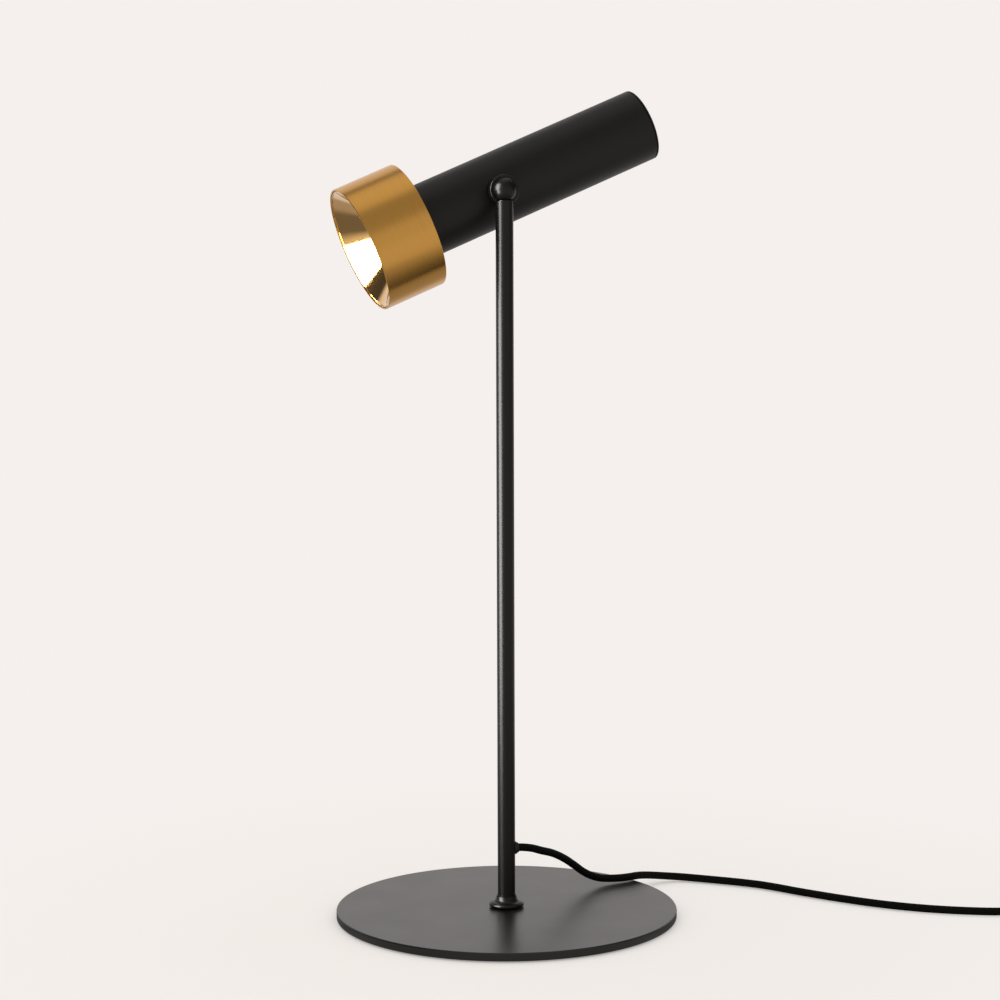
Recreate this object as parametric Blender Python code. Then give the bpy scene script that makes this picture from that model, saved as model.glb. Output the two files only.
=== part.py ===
"""Table spot lamp: a tube head with a wide brass ring, on a ball knuckle, a thin stem and a round base.

Lengths are in metres. The origin is the middle of the underside, on the table. +Z is up, the light points
to -X, the tilt axis runs along +Y through the ball, and the cord leaves the stem to +X.
"""
import math

import bmesh
import bpy
import numpy as np
from mathutils import Matrix, Vector

MM = 0.001
DEG = math.pi / 180

# Shared clearances
SEAT_GAP = 0.3 * MM  # between pieces that rest on each other
CUT_OVERRUN = 3 * MM  # how far a cutter reaches past the face that it opens
MERGE_DISTANCE = 0.002 * MM

# Facets
FINE_SEGMENTS = 60
ROUND_SEGMENTS = 32
SMALL_SEGMENTS = 24
TINY_SEGMENTS = 12
CORNER_STEPS = 2
SMOOTH_ANGLE = 35 * DEG

# Base
BASE_RADIUS = 100 * MM
BASE_THICKNESS = 4.8 * MM
BASE_EDGE_ROUND = 0.7 * MM
PAD_THICKNESS = 1.2 * MM
PAD_STAND = 0.5 * MM  # how far the pad stands below the plate
PAD_MARGIN = 3 * MM  # plate rim left round the pad
FOOT_SCREW_RADIUS = 3 * MM
FOOT_SCREW_HEAD_RADIUS = 5.6 * MM
FOOT_SCREW_HEAD_DEPTH = 2.6 * MM
FOOT_SCREW_LENGTH = 19 * MM
FOOT_SCREW_KEY_RADIUS = 2 * MM
FOOT_SCREW_KEY_DEPTH = 1.6 * MM
FOOT_SCREW_CHAMFER = 0.75 * MM
HEX_SIDES = 6

# Stem, its foot collar and the cord's way out
STEM_RADIUS = 5.15 * MM
STEM_WALL = 1.0 * MM
INSERT_LENGTH = 14 * MM
COLLAR_RADIUS = 10.3 * MM
COLLAR_HEIGHT = 6.7 * MM
COLLAR_BEAD_HEIGHT = 2.6 * MM
COLLAR_NECK_WALL = 0.35 * MM
COLLAR_BEAD_STEPS = 5
COLLAR_FLARE_STEPS = 5
EXIT_HEIGHT = 40 * MM
GROMMET_WALL = 0.5 * MM
GROMMET_FLANGE_RADIUS = 3.8 * MM
GROMMET_FLANGE_THICKNESS = 0.4 * MM
GROMMET_NOSE_LENGTH = 1.2 * MM
GROMMET_DEPTH = 2.2 * MM  # reach of the sleeve in from the stem's skin

# Ball knuckle and pivot, stacked along the tilt axis
PIVOT_HEIGHT = 424.3 * MM
BALL_RADIUS = 7.2 * MM
BALL_STEPS = 9
BALL_SEAT_DEPTH = 6.2 * MM  # flat under the ball, below its middle
SPIGOT_LENGTH = 14 * MM
FLANGE_RADIUS = 8.8 * MM
FLANGE_THICKNESS = 1.8 * MM  # half of it on each side of the ball's middle
KNUCKLE_NECK_RADIUS = 6.0 * MM
KNUCKLE_TAPER = 2.7 * MM  # length over which the ball narrows to its neck
STEM_CLEARANCE = 0.45 * MM  # between the stem and what turns behind it
FLANGE_ROUND = 0.6 * MM
BOLT_RADIUS = 4 * MM
BOLT_START = 1.6 * MM
WIRE_WAY_RADIUS = 2.6 * MM
FRICTION_WASHER_THICKNESS = 1.0 * MM
WASHER_RADIUS = 8.0 * MM
INNER_SADDLE_RADIUS = 7.5 * MM
INNER_SADDLE_THICKNESS = 2.1 * MM
SPRING_WASHER_THICKNESS = 0.8 * MM
SPRING_WASHER_RISE = 0.7 * MM
SPRING_WASHER_RADIUS = 7.2 * MM
NUT_ACROSS_FLATS = 13 * MM
NUT_HEIGHT = 4.5 * MM
BOLT_TAIL = 1.5 * MM  # thread left past the nut

# Head tube: lengths along its axis are measured from the tilt axis, forward positive
HEAD_TILT = 23.4 * DEG  # nose down at rest
TUBE_RADIUS = 21.5 * MM
SADDLE_NECK = 1.3 * MM  # thinnest part of the pad between washer and tube
TUBE_WALL = 1.5 * MM
HEAD_REAR = 103.2 * MM
CAP_THICKNESS = 1.0 * MM
CAP_EDGE_ROUND = 0.3 * MM
CAP_SPIGOT_LENGTH = 8 * MM
CAP_SPIGOT_WALL = 2 * MM
SHADE_RADIUS = 37.5 * MM
SHADE_WALL = 1.0 * MM
SHADE_REAR = 48.5 * MM
SHADE_LENGTH = 37 * MM
SHADE_BACK_THICKNESS = 2 * MM
SHADE_EDGE_ROUND = 0.4 * MM

# Light engine
SINK_LENGTH = 26 * MM
SINK_DISC_THICKNESS = 4 * MM
SINK_CORE_RADIUS = 7 * MM
SINK_FIN_THICKNESS = 1.2 * MM
SINK_FINS = 12
SINK_NOSE_RADIUS = 15.2 * MM
SINK_NOSE_LENGTH = 9.5 * MM
RING_NUT_HEIGHT = 3.5 * MM
RING_NUT_SLOTS = 4
RING_NUT_SLOT_WIDTH = 4 * MM
RING_NUT_SLOT_DEPTH = 1.6 * MM
BOARD_RADIUS = 13.5 * MM
BOARD_THICKNESS = 1.6 * MM
EMITTER_RADIUS = 6 * MM
EMITTER_THICKNESS = 0.7 * MM
DOME_RADIUS = 9.4 * MM
DOME_HEIGHT = 6 * MM
DOME_WALL = 1.2 * MM
DOME_STEPS = 5
REFLECTOR_WALL = 0.6 * MM
REFLECTOR_THROAT_RADIUS = 9.8 * MM
REFLECTOR_SEAT_RADIUS = 13 * MM
REFLECTOR_BAND = 0.6 * MM  # straight band behind the rim
REFLECTOR_INSET = 0.4 * MM  # rim set back from the shade's edge
REFLECTOR_BULGE_SHARE = 0.9  # below 1 the cone swells outward
REFLECTOR_STEPS = 4
DRIVER_WIDTH_SHARE = 0.825  # of the tube's bore
DRIVER_EDGE_ROUND = 1 * MM
TERMINAL_LENGTH = 7.5 * MM
TERMINAL_WIDTH = 10 * MM
TERMINAL_HEIGHT = 16 * MM
LEAD_RADIUS = 0.8 * MM
LEAD_BESIDE = 10 * MM  # leads to the light board, beside the tube's axis
LEAD_SPREAD = 3 * MM  # and above and below it
WIRE_SPREAD = 0.9 * MM
WIRE_BEND = 2.6 * MM
WIRE_BEND_STEPS = 4
WIRE_TWIST_STEPS = 8
HEAD_WIRE_STEPS = 6

# Cord and what is on it
CORD_RADIUS = 2.3 * MM
CORD_SPACING_DIAMETERS = 2.4
ROUTE_FINENESS = 24
COIL_LAYERS = 4
COIL_TURNS_PER_LAYER = 2
COIL_POINTS_PER_TURN = 24
COIL_SPACE = 0.5 * MM
NEIGHBOUR_DIAMETERS = 3  # cord this near along its line isn't counted as another turn
COIL_INNER_RADIUS = 20 * MM
COIL_MIDDLE = (374 * MM, -72 * MM)
TIE_WIDTH = 8 * MM
TIE_THICKNESS = 0.8 * MM
TIE_CLEARANCE = 0.4 * MM
TAIL_LENGTH = 42 * MM

# Inline switch
SWITCH_MIDDLE = (336 * MM, -114.3 * MM)
SWITCH_HEADING = -20.5 * DEG
SWITCH_LENGTH = 62 * MM
SWITCH_WIDTH = 26 * MM
SWITCH_END_WIDTH = 12 * MM
SWITCH_HEIGHT = 18 * MM
SWITCH_OUTLINE_POWER = 3
SWITCH_OUTLINE_STEPS = 12
SWITCH_EDGE_ROUND = 2.2 * MM
SWITCH_NOSE_LENGTH = 5 * MM
SWITCH_NOSE_RADIUS = 4.6 * MM
SWITCH_NOSE_TIP_RADIUS = 3.3 * MM
SWITCH_SCREW_RADIUS = 1.4 * MM
SWITCH_SCREW_HEAD_RADIUS = 2.7 * MM
SWITCH_SCREW_HEAD_HEIGHT = 1.8 * MM
SWITCH_SCREW_LENGTH = 12 * MM
SWITCH_SCREW_SINK = 1.2 * MM  # head below the underside
SWITCH_SCREW_PLACE_SHARE = 0.74
ROCKER_LENGTH = 16 * MM
ROCKER_WIDTH = 11.5 * MM
ROCKER_AXIS_DEPTH = 3 * MM
ROCKER_MIDDLE_RISE = 3 * MM
ROCKER_END_RISE = 4.2 * MM
ROCKER_END_DEPTH = 0.5 * MM
ROCKER_BELLY_RADIUS = 4.2 * MM
ROCKER_BELLY_STEPS = 6
ROCKER_PIN_RADIUS = 1 * MM
ROCKER_PIN_LENGTH = 1.2 * MM
ROCKER_RUNNING_GAP = 0.12 * MM
ROCKER_TILT = 8 * DEG

# Plug
PLUG_WIDTH = 35.3 * MM
PLUG_HEIGHT = 13.7 * MM
PLUG_BODY_LENGTH = 35 * MM
PLUG_SLEEVE_LENGTH = 20 * MM
PLUG_SLEEVE_RADIUS = 4.4 * MM
PLUG_SLEEVE_TIP_RADIUS = 3.2 * MM
PLUG_RIB_RISE = 0.5 * MM
PLUG_RIBS = 4
PLUG_REAR_STEP = 0.5 * MM
PLUG_FACE_CHAMFER = 0.8 * MM
PLUG_REAR_WIDTH = 13 * MM
PLUG_REAR_HEIGHT = 11 * MM
PLUG_SHOULDER_SHARE = 0.72  # where along the body the full width is reached
PLUG_SECTION_POINTS = 24
ROUND_POWER = 2  # powers of the superellipse sections, from round to boxy
REAR_POWER = 2.6
MIDDLE_POWER = 3
FACE_POWER = 4
PIN_RADIUS = 2 * MM
PIN_LENGTH = 19 * MM
PIN_SLEEVE_LENGTH = 10 * MM
PIN_SLEEVE_STEP = 0.25 * MM
PIN_SPACING = 18.6 * MM
PIN_TIP_ROUND = 1.4 * MM
PIN_HOLE_DEPTH = 6 * MM

# Route of the cord from the stem's bore over the base and the table, in millimetres, chosen by hand
ROUTE_TO_SWITCH_MM = (
    (3.6, 0.0, 40.0),
    (8.5, 0.0, 40.0),
    (15.6, 0.3, 38.9),
    (22.6, 2.4, 36.4),
    (29.4, 6.8, 33.8),
    (36.2, 12.4, 30.3),
    (43.2, 18.2, 25.9),
    (50.0, 22.6, 20.9),
    (56.2, 25.6, 16.1),
    (62.6, 28.2, 12.3),
    (69.5, 30.2, 9.7),
    (76.5, 31.5, 8.6),
    (83.2, 32.2, 8.2),
    (90.0, 33.8, 8.0),
    (95.0, 36.0, 7.8),
    (100.5, 39.0, 7.0),
    (107.5, 42.4, 5.6),
    (117.0, 44.8, 3.9),
    (127.3, 43.4, 2.8),
    (138.0, 36.6, 2.5),
    (148.0, 28.5, 2.5),
    (158.0, 19.9, 2.5),
    (167.2, 10.6, 2.5),
    (175.4, -0.6, 2.5),
    (183.2, -12.6, 2.5),
    (199.4, -34.4, 2.5),
    (216.2, -53.6, 2.5),
    (234.4, -69.4, 2.5),
    (254.0, -81.8, 2.5),
    (274.5, -91.1, 2.6),
    (286.0, -95.5, 4.0),
    (294.5, -98.7, 6.8),
)
ROUTE_TO_COIL_MM = (
    (384.5, -127.4, 5.4),
    (396.0, -117.5, 3.6),
    (402.5, -104.0, 3.5),
)

# Colours as seen, in sRGB shares
BLACK_COAT = (0.135, 0.130, 0.122)
STEM_COAT = (0.125, 0.122, 0.112)
BRASS = (0.76, 0.57, 0.27)
GOLD_MIRROR = (0.86, 0.66, 0.33)
STEEL = (0.62, 0.62, 0.62)
PLASTIC_BLACK = (0.08, 0.08, 0.08)
PLASTIC_WHITE = (0.88, 0.88, 0.86)
FELT = (0.12, 0.12, 0.12)
CORD_BLACK = (0.05, 0.05, 0.05)
WIRE_BROWN = (0.33, 0.19, 0.10)
WIRE_BLUE = (0.12, 0.25, 0.60)
LEAD_RED = (0.65, 0.10, 0.08)
EMITTER_YELLOW = (0.93, 0.80, 0.30)
FROST = (0.93, 0.92, 0.88)

# Places that several pieces share
BASE_TOP = PAD_STAND + BASE_THICKNESS
STEM_FOOT = BASE_TOP + SEAT_GAP
STEM_BORE = STEM_RADIUS - STEM_WALL
STEM_TOP = PIVOT_HEIGHT - BALL_SEAT_DEPTH - SEAT_GAP
TUBE_BORE = TUBE_RADIUS - TUBE_WALL
SINK_RADIUS = TUBE_BORE - SEAT_GAP
RING_NUT_RADIUS = SINK_RADIUS
TUBE_FRONT = SHADE_REAR - SEAT_GAP
TUBE_REAR = -HEAD_REAR + CAP_THICKNESS + SEAT_GAP
PIVOT_BORE = BOLT_RADIUS + SEAT_GAP
FLANGE_BACK = FLANGE_THICKNESS / 2
KNUCKLE_BACK = STEM_RADIUS + STEM_CLEARANCE
FRICTION_WASHER_START = KNUCKLE_BACK + SEAT_GAP
SADDLE_START = FRICTION_WASHER_START + FRICTION_WASHER_THICKNESS + SEAT_GAP
TUBE_OFFSET = SADDLE_START + SADDLE_NECK + TUBE_RADIUS  # tube's axis beside the ball's middle
INNER_SADDLE_TOP = TUBE_OFFSET - TUBE_BORE + SEAT_GAP
INNER_SADDLE_END = INNER_SADDLE_TOP + INNER_SADDLE_THICKNESS
SPRING_WASHER_START = INNER_SADDLE_END + SEAT_GAP
NUT_START = SPRING_WASHER_START + SPRING_WASHER_RISE + SPRING_WASHER_THICKNESS + SEAT_GAP
BOLT_END = NUT_START + NUT_HEIGHT + BOLT_TAIL
SINK_NOSE_END = TUBE_FRONT + SINK_NOSE_LENGTH
BOARD_START = SINK_NOSE_END + SEAT_GAP
BOARD_END = BOARD_START + BOARD_THICKNESS
SHADE_FRONT = SHADE_REAR + SHADE_LENGTH
SHADE_BORE = SHADE_RADIUS - SHADE_WALL
DRIVER_REAR = TUBE_REAR + CAP_SPIGOT_LENGTH + SEAT_GAP
DRIVER_FRONT = -(NUT_ACROSS_FLATS + SEAT_GAP + TERMINAL_LENGTH)
TERMINAL_FRONT = DRIVER_FRONT + SEAT_GAP + TERMINAL_LENGTH
CORD_DIAMETER = 2 * CORD_RADIUS
COIL_PITCH = CORD_DIAMETER + COIL_SPACE
COIL_OUTER_RADIUS = COIL_INNER_RADIUS + COIL_TURNS_PER_LAYER * COIL_PITCH
COIL_BOTTOM = TIE_THICKNESS + TIE_CLEARANCE + CORD_RADIUS
COIL_TOP = COIL_BOTTOM + (COIL_LAYERS - 1) * COIL_PITCH
CORD_EXIT_HOLE = CORD_RADIUS + SEAT_GAP + GROMMET_WALL + SEAT_GAP


def clear_scene():
    """Remove every object, so that the file holds the lamp alone."""
    for item in list(bpy.data.objects):
        bpy.data.objects.remove(item, do_unlink=True)


def linear(share):
    """One sRGB share as a linear one."""
    return share / 12.92 if share <= 0.04045 else ((share + 0.055) / 1.055) ** 2.4


def material(name, colour, roughness, metallic=0.0):
    """A Principled material of this colour, made once and shared by name."""
    found = bpy.data.materials.get(name)
    if found:
        return found
    made = bpy.data.materials.new(name)
    made.use_nodes = True
    surface = made.node_tree.nodes["Principled BSDF"]
    surface.inputs["Base Color"].default_value = (*[linear(c) for c in colour], 1)
    surface.inputs["Roughness"].default_value = roughness
    surface.inputs["Metallic"].default_value = metallic
    return made


def empty(name, location=(0, 0, 0), rotation=(0, 0, 0), parent=None):
    """An empty that carries a joint axis or a place."""
    made = bpy.data.objects.new(name, None)
    bpy.context.collection.objects.link(made)
    made.location = location
    made.rotation_euler = rotation
    made.parent = parent
    return made


def piece(name, shape, look=None, parent=None, location=(0, 0, 0), rotation=(0, 0, 0)):
    """Turn a bmesh into an object with smooth round sides and sharp corners."""
    bmesh.ops.recalc_face_normals(shape, faces=shape.faces)
    mesh = bpy.data.meshes.new(name)
    shape.to_mesh(mesh)
    shape.free()
    mesh.shade_smooth()
    mesh.set_sharp_from_angle(angle=SMOOTH_ANGLE)
    if look:
        mesh.materials.append(look)
    made = bpy.data.objects.new(name, mesh)
    bpy.context.collection.objects.link(made)
    made.parent = parent
    made.location = location
    made.rotation_euler = rotation
    return made


def combine(body, tool, operation):
    """Add a Boolean of body with tool, and leave the tool out of the render."""
    step = body.modifiers.new(f"{operation.lower()} {tool.name}", "BOOLEAN")
    step.operation = operation
    step.solver = "EXACT"
    step.object = tool
    tool.hide_render = True
    tool.display_type = "WIRE"


def cut(body, tool):
    """Cut the tool's shape out of the body."""
    combine(body, tool, "DIFFERENCE")


def weld(body, tool):
    """Fuse the tool's shape to the body."""
    combine(body, tool, "UNION")


def turned_shape(outline, segments):
    """Turn a closed outline of (radius, height) points about Z into a bmesh."""
    shape = bmesh.new()
    corners = [shape.verts.new((radius, 0, height)) for radius, height in outline]
    sides = []
    for first, second in zip(corners, corners[1:] + corners[:1]):
        if first.co.x > 0 or second.co.x > 0:
            sides.append(shape.edges.new((first, second)))
    bmesh.ops.spin(
        shape,
        geom=corners + sides,
        cent=(0, 0, 0),
        axis=(0, 0, 1),
        angle=2 * math.pi,
        steps=segments,
        use_merge=True,
    )
    bmesh.ops.remove_doubles(shape, verts=shape.verts, dist=MERGE_DISTANCE)
    return shape


def softened(outline):
    """An outline whose points (x, y, radius) are rounded off by that radius, in a few steps."""
    points = []
    count = len(outline)
    for index, entry in enumerate(outline):
        corner = Vector(entry[:2])
        if len(entry) == 2:
            points.append(tuple(corner))
            continue
        before = (Vector(outline[index - 1][:2]) - corner).normalized()
        after = (Vector(outline[(index + 1) % count][:2]) - corner).normalized()
        half = before.angle(after) / 2
        reach = entry[2] / math.tan(half)
        middle = corner + (before + after).normalized() * entry[2] / math.sin(half)
        start = corner + before * reach - middle
        end = corner + after * reach - middle
        for step in range(CORNER_STEPS + 1):
            share = step / CORNER_STEPS
            spoke = start.lerp(end, share).normalized() * entry[2]
            points.append(tuple(middle + spoke))
    return points


def rod_outline(radius, start, end):
    """The outline of a plain rod between two heights."""
    return [(0, start), (radius, start), (radius, end), (0, end)]


def pipe_outline(outer, inner, start, end):
    """The outline of a plain pipe between two heights."""
    return [(inner, start), (outer, start), (outer, end), (inner, end)]


def extruded_shape(outline, low, high):
    """Raise a closed outline of (x, y) points from one height to another."""
    shape = bmesh.new()
    face = shape.faces.new([shape.verts.new((x, y, low)) for x, y in outline])
    raised = bmesh.ops.extrude_face_region(shape, geom=[face])
    tops = [item for item in raised["geom"] if isinstance(item, bmesh.types.BMVert)]
    bmesh.ops.translate(shape, verts=tops, vec=(0, 0, high - low))
    return shape


def box_shape(low, high):
    """A box between two corners."""
    shape = bmesh.new()
    size = Vector(high) - Vector(low)
    middle = (Vector(high) + Vector(low)) / 2
    bmesh.ops.create_cube(shape, size=1, matrix=Matrix.Translation(middle) @ Matrix.Diagonal((*size, 1)))
    return shape


def smooth_route(points, spacing):
    """A straight stub at each end, and between them even points on a Catmull-Rom curve through the rest."""
    knots = np.array(points, dtype=float)
    dense = []
    for index in range(1, len(knots) - 2):
        before, start, end, after = knots[index - 1 : index + 3]
        for share in np.linspace(0, 1, ROUTE_FINENESS, endpoint=False):
            dense.append(
                (
                    2 * start
                    + (end - before) * share
                    + (2 * before - 5 * start + 4 * end - after) * share**2
                    + (3 * start - before - 3 * end + after) * share**3
                )
                / 2
            )
    dense.append(knots[-2])
    dense = np.array(dense)
    along = np.concatenate(([0], np.cumsum(np.linalg.norm(np.diff(dense, axis=0), axis=1))))
    count = max(2, round(along[-1] / spacing) + 1)
    wanted = np.linspace(0, along[-1], count)
    even = np.array([np.interp(wanted, along, dense[:, axis]) for axis in range(3)]).T
    return np.vstack((knots[:1], even, knots[-1:]))


def tube(name, points, radius, look, sides=2, parent=None):
    """A round cord or wire along the points, with filled ends."""
    curve = bpy.data.curves.new(name, "CURVE")
    curve.dimensions = "3D"
    curve.bevel_depth = radius
    curve.bevel_resolution = sides
    curve.use_fill_caps = True
    line = curve.splines.new("POLY")
    line.points.add(len(points) - 1)
    for place, point in zip(line.points, points):
        place.co = (*point, 1)
    curve.materials.append(look)
    made = bpy.data.objects.new(name, curve)
    bpy.context.collection.objects.link(made)
    made.parent = parent
    return made


def length_of(points):
    """The length of a line of points."""
    return float(np.linalg.norm(np.diff(np.asarray(points), axis=0), axis=1).sum())


def make_base(looks):
    """Steel plate with a pad in its underside and a countersunk hole for the stem's screw."""
    roof = PAD_THICKNESS + SEAT_GAP
    pad_radius = BASE_RADIUS - PAD_MARGIN
    hole = FOOT_SCREW_RADIUS + SEAT_GAP
    sink_radius = FOOT_SCREW_HEAD_RADIUS + SEAT_GAP
    head_top = roof + SEAT_GAP + FOOT_SCREW_HEAD_DEPTH
    plate = softened(
        [
            (hole, head_top),
            (hole, BASE_TOP),
            (BASE_RADIUS, BASE_TOP, BASE_EDGE_ROUND),
            (BASE_RADIUS, PAD_STAND, BASE_EDGE_ROUND),
            (pad_radius + SEAT_GAP, PAD_STAND),
            (pad_radius + SEAT_GAP, roof),
            (sink_radius, roof),
        ]
    )
    piece("base_plate", turned_shape(plate, FINE_SEGMENTS), looks["coat"])
    piece("base_pad", turned_shape(rod_outline(pad_radius, 0, PAD_THICKNESS), FINE_SEGMENTS), looks["felt"])

    head_start = roof + SEAT_GAP
    screw_end = head_start + FOOT_SCREW_LENGTH
    screw = piece(
        "base_screw",
        turned_shape(
            [
                (0, head_start),
                (FOOT_SCREW_HEAD_RADIUS - SEAT_GAP, head_start),
                (FOOT_SCREW_RADIUS, head_top - SEAT_GAP),
                (FOOT_SCREW_RADIUS, screw_end - FOOT_SCREW_CHAMFER),
                (FOOT_SCREW_RADIUS - FOOT_SCREW_CHAMFER, screw_end),
                (0, screw_end),
            ],
            SMALL_SEGMENTS,
        ),
        looks["steel"],
    )
    key_top = head_start + FOOT_SCREW_KEY_DEPTH
    key = rod_outline(FOOT_SCREW_KEY_RADIUS, head_start - CUT_OVERRUN, key_top)
    cut(screw, piece("base_screw_key_cutter", turned_shape(key, HEX_SIDES)))
    insert = pipe_outline(STEM_BORE - SEAT_GAP, hole, STEM_FOOT, STEM_FOOT + INSERT_LENGTH)
    piece("stem_insert", turned_shape(insert, SMALL_SEGMENTS), looks["steel"])


def make_foot_collar(looks):
    """Flared collar: a round bead on the base, then a hollow curve up to the stem."""
    bore = STEM_RADIUS + SEAT_GAP
    neck = bore + COLLAR_NECK_WALL
    bead_half = COLLAR_BEAD_HEIGHT / 2
    shoulder = COLLAR_RADIUS - bead_half
    outline = [(bore, STEM_FOOT)]
    for step in range(COLLAR_BEAD_STEPS + 1):
        turn = -math.pi / 2 + math.pi * step / COLLAR_BEAD_STEPS
        outline.append(
            (
                shoulder + bead_half * math.cos(turn),
                STEM_FOOT + bead_half + bead_half * math.sin(turn),
            )
        )
    flare_start = COLLAR_BEAD_HEIGHT + SEAT_GAP
    for step in range(COLLAR_FLARE_STEPS + 1):
        turn = math.pi / 2 * step / COLLAR_FLARE_STEPS
        outline.append(
            (
                shoulder - (shoulder - neck) * math.sin(turn),
                STEM_FOOT + COLLAR_HEIGHT - (COLLAR_HEIGHT - flare_start) * math.cos(turn),
            )
        )
    outline.append((bore, STEM_FOOT + COLLAR_HEIGHT))
    piece("foot_collar", turned_shape(outline, ROUND_SEGMENTS), looks["stem"])


def make_stem(looks):
    """Thin tube with one side hole for the cord."""
    pipe = pipe_outline(STEM_RADIUS, STEM_BORE, STEM_FOOT, STEM_TOP)
    stem = piece("stem_tube", turned_shape(pipe, ROUND_SEGMENTS), looks["stem"])
    hole = rod_outline(CORD_EXIT_HOLE, 0, STEM_RADIUS + CUT_OVERRUN)
    cutter = piece(
        "stem_hole_cutter",
        turned_shape(hole, SMALL_SEGMENTS),
        location=(0, 0, EXIT_HEIGHT),
        rotation=(0, math.pi / 2, 0),
    )
    cut(stem, cutter)


def make_grommet(looks):
    """Cord bush: a sleeve in the stem's hole, a flange that follows the stem, and a tapered nose."""
    bore = CORD_RADIUS + SEAT_GAP
    sleeve_radius = bore + GROMMET_WALL
    skin = STEM_RADIUS + SEAT_GAP
    face = skin + GROMMET_FLANGE_THICKNESS
    tip = face + GROMMET_NOSE_LENGTH
    place = (0, 0, EXIT_HEIGHT)
    turn = (0, math.pi / 2, 0)
    outer = softened(
        [
            (0, STEM_BORE),
            (GROMMET_FLANGE_RADIUS, STEM_BORE),
            (GROMMET_FLANGE_RADIUS, face, GROMMET_FLANGE_THICKNESS / 2),
            (sleeve_radius + GROMMET_WALL / 2, face),
            (sleeve_radius - GROMMET_WALL / 3, tip),
            (0, tip),
        ]
    )
    grommet = piece(
        "cord_grommet", turned_shape(outer, SMALL_SEGMENTS), looks["rubber"], location=place, rotation=turn
    )
    reach = GROMMET_FLANGE_RADIUS + CUT_OVERRUN
    saddle = rod_outline(skin, EXIT_HEIGHT - reach, EXIT_HEIGHT + reach)
    cut(grommet, piece("grommet_saddle_cutter", turned_shape(saddle, ROUND_SEGMENTS)))
    sleeve = rod_outline(sleeve_radius, STEM_RADIUS - GROMMET_DEPTH, face)
    weld(
        grommet,
        piece("grommet_sleeve", turned_shape(sleeve, SMALL_SEGMENTS), location=place, rotation=turn),
    )
    way = rod_outline(bore, 0, tip + CUT_OVERRUN)
    cut(
        grommet,
        piece("grommet_bore_cutter", turned_shape(way, SMALL_SEGMENTS), location=place, rotation=turn),
    )


def make_knuckle(looks, pivot):
    """Ball with a rim round its middle, a neck behind, a spigot down into the stem and a way for the wires."""
    along_pivot = (-math.pi / 2, 0, 0)
    meet = math.asin(-FLANGE_BACK / BALL_RADIUS)
    outline = []
    for step in range(BALL_STEPS + 1):
        turn = -math.pi / 2 + (math.pi / 2 + meet) * step / BALL_STEPS
        outline.append((max(0, BALL_RADIUS * math.cos(turn)), BALL_RADIUS * math.sin(turn)))
    outline[0] = (0, -BALL_RADIUS)
    outline += softened(
        [
            (FLANGE_RADIUS, -FLANGE_BACK, FLANGE_ROUND),
            (FLANGE_RADIUS, FLANGE_BACK, FLANGE_ROUND),
            (BALL_RADIUS, FLANGE_BACK),
            (KNUCKLE_NECK_RADIUS, FLANGE_BACK + KNUCKLE_TAPER),
            (KNUCKLE_NECK_RADIUS, KNUCKLE_BACK),
            (PIVOT_BORE, KNUCKLE_BACK),
            (PIVOT_BORE, BOLT_START - SEAT_GAP),
            (0, BOLT_START - SEAT_GAP),
            (0, -BALL_RADIUS),
        ]
    )[:-1]
    knuckle = piece(
        "ball_knuckle",
        turned_shape(outline, ROUND_SEGMENTS),
        looks["stem"],
        parent=pivot,
        rotation=along_pivot,
    )
    seat = rod_outline(STEM_RADIUS + SEAT_GAP, -FLANGE_RADIUS - CUT_OVERRUN, -BALL_SEAT_DEPTH)
    cut(knuckle, piece("knuckle_seat_cutter", turned_shape(seat, ROUND_SEGMENTS), parent=pivot))
    spigot_end = -BALL_SEAT_DEPTH - SPIGOT_LENGTH
    spigot = rod_outline(STEM_BORE - SEAT_GAP, spigot_end, -BALL_SEAT_DEPTH + SEAT_GAP)
    weld(knuckle, piece("knuckle_spigot", turned_shape(spigot, SMALL_SEGMENTS), parent=pivot))
    way = rod_outline(WIRE_WAY_RADIUS, spigot_end - CUT_OVERRUN, WIRE_WAY_RADIUS)
    cut(knuckle, piece("knuckle_wire_cutter", turned_shape(way, SMALL_SEGMENTS), parent=pivot))


def make_pivot_hardware(looks, pivot):
    """Hollow bolt with a friction washer outside the tube, and a spring washer and nut inside it."""
    along_pivot = (-math.pi / 2, 0, 0)

    def stacked(name, outline, segments, look):
        return piece(name, turned_shape(outline, segments), look, parent=pivot, rotation=along_pivot)

    bolt = pipe_outline(BOLT_RADIUS, WIRE_WAY_RADIUS, BOLT_START, BOLT_END)
    stacked("pivot_bolt", bolt, SMALL_SEGMENTS, looks["steel"])
    washer_end = FRICTION_WASHER_START + FRICTION_WASHER_THICKNESS
    washer = pipe_outline(WASHER_RADIUS, PIVOT_BORE, FRICTION_WASHER_START, washer_end)
    stacked("friction_washer", washer, SMALL_SEGMENTS, looks["white"])
    rim = SPRING_WASHER_START
    crown = rim + SPRING_WASHER_RISE
    cone = [
        (SPRING_WASHER_RADIUS, rim),
        (SPRING_WASHER_RADIUS, rim + SPRING_WASHER_THICKNESS),
        (PIVOT_BORE, crown + SPRING_WASHER_THICKNESS),
        (PIVOT_BORE, crown),
    ]
    stacked("spring_washer", cone, SMALL_SEGMENTS, looks["steel"])
    corner = NUT_ACROSS_FLATS / 2 / math.cos(math.pi / HEX_SIDES)
    nut_end = NUT_START + NUT_HEIGHT
    nut = stacked("pivot_nut", rod_outline(corner, NUT_START, nut_end), HEX_SIDES, looks["steel"])
    thread = rod_outline(PIVOT_BORE, NUT_START - CUT_OVERRUN, nut_end + CUT_OVERRUN)
    cut(nut, stacked("pivot_nut_cutter", thread, SMALL_SEGMENTS, None))


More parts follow.
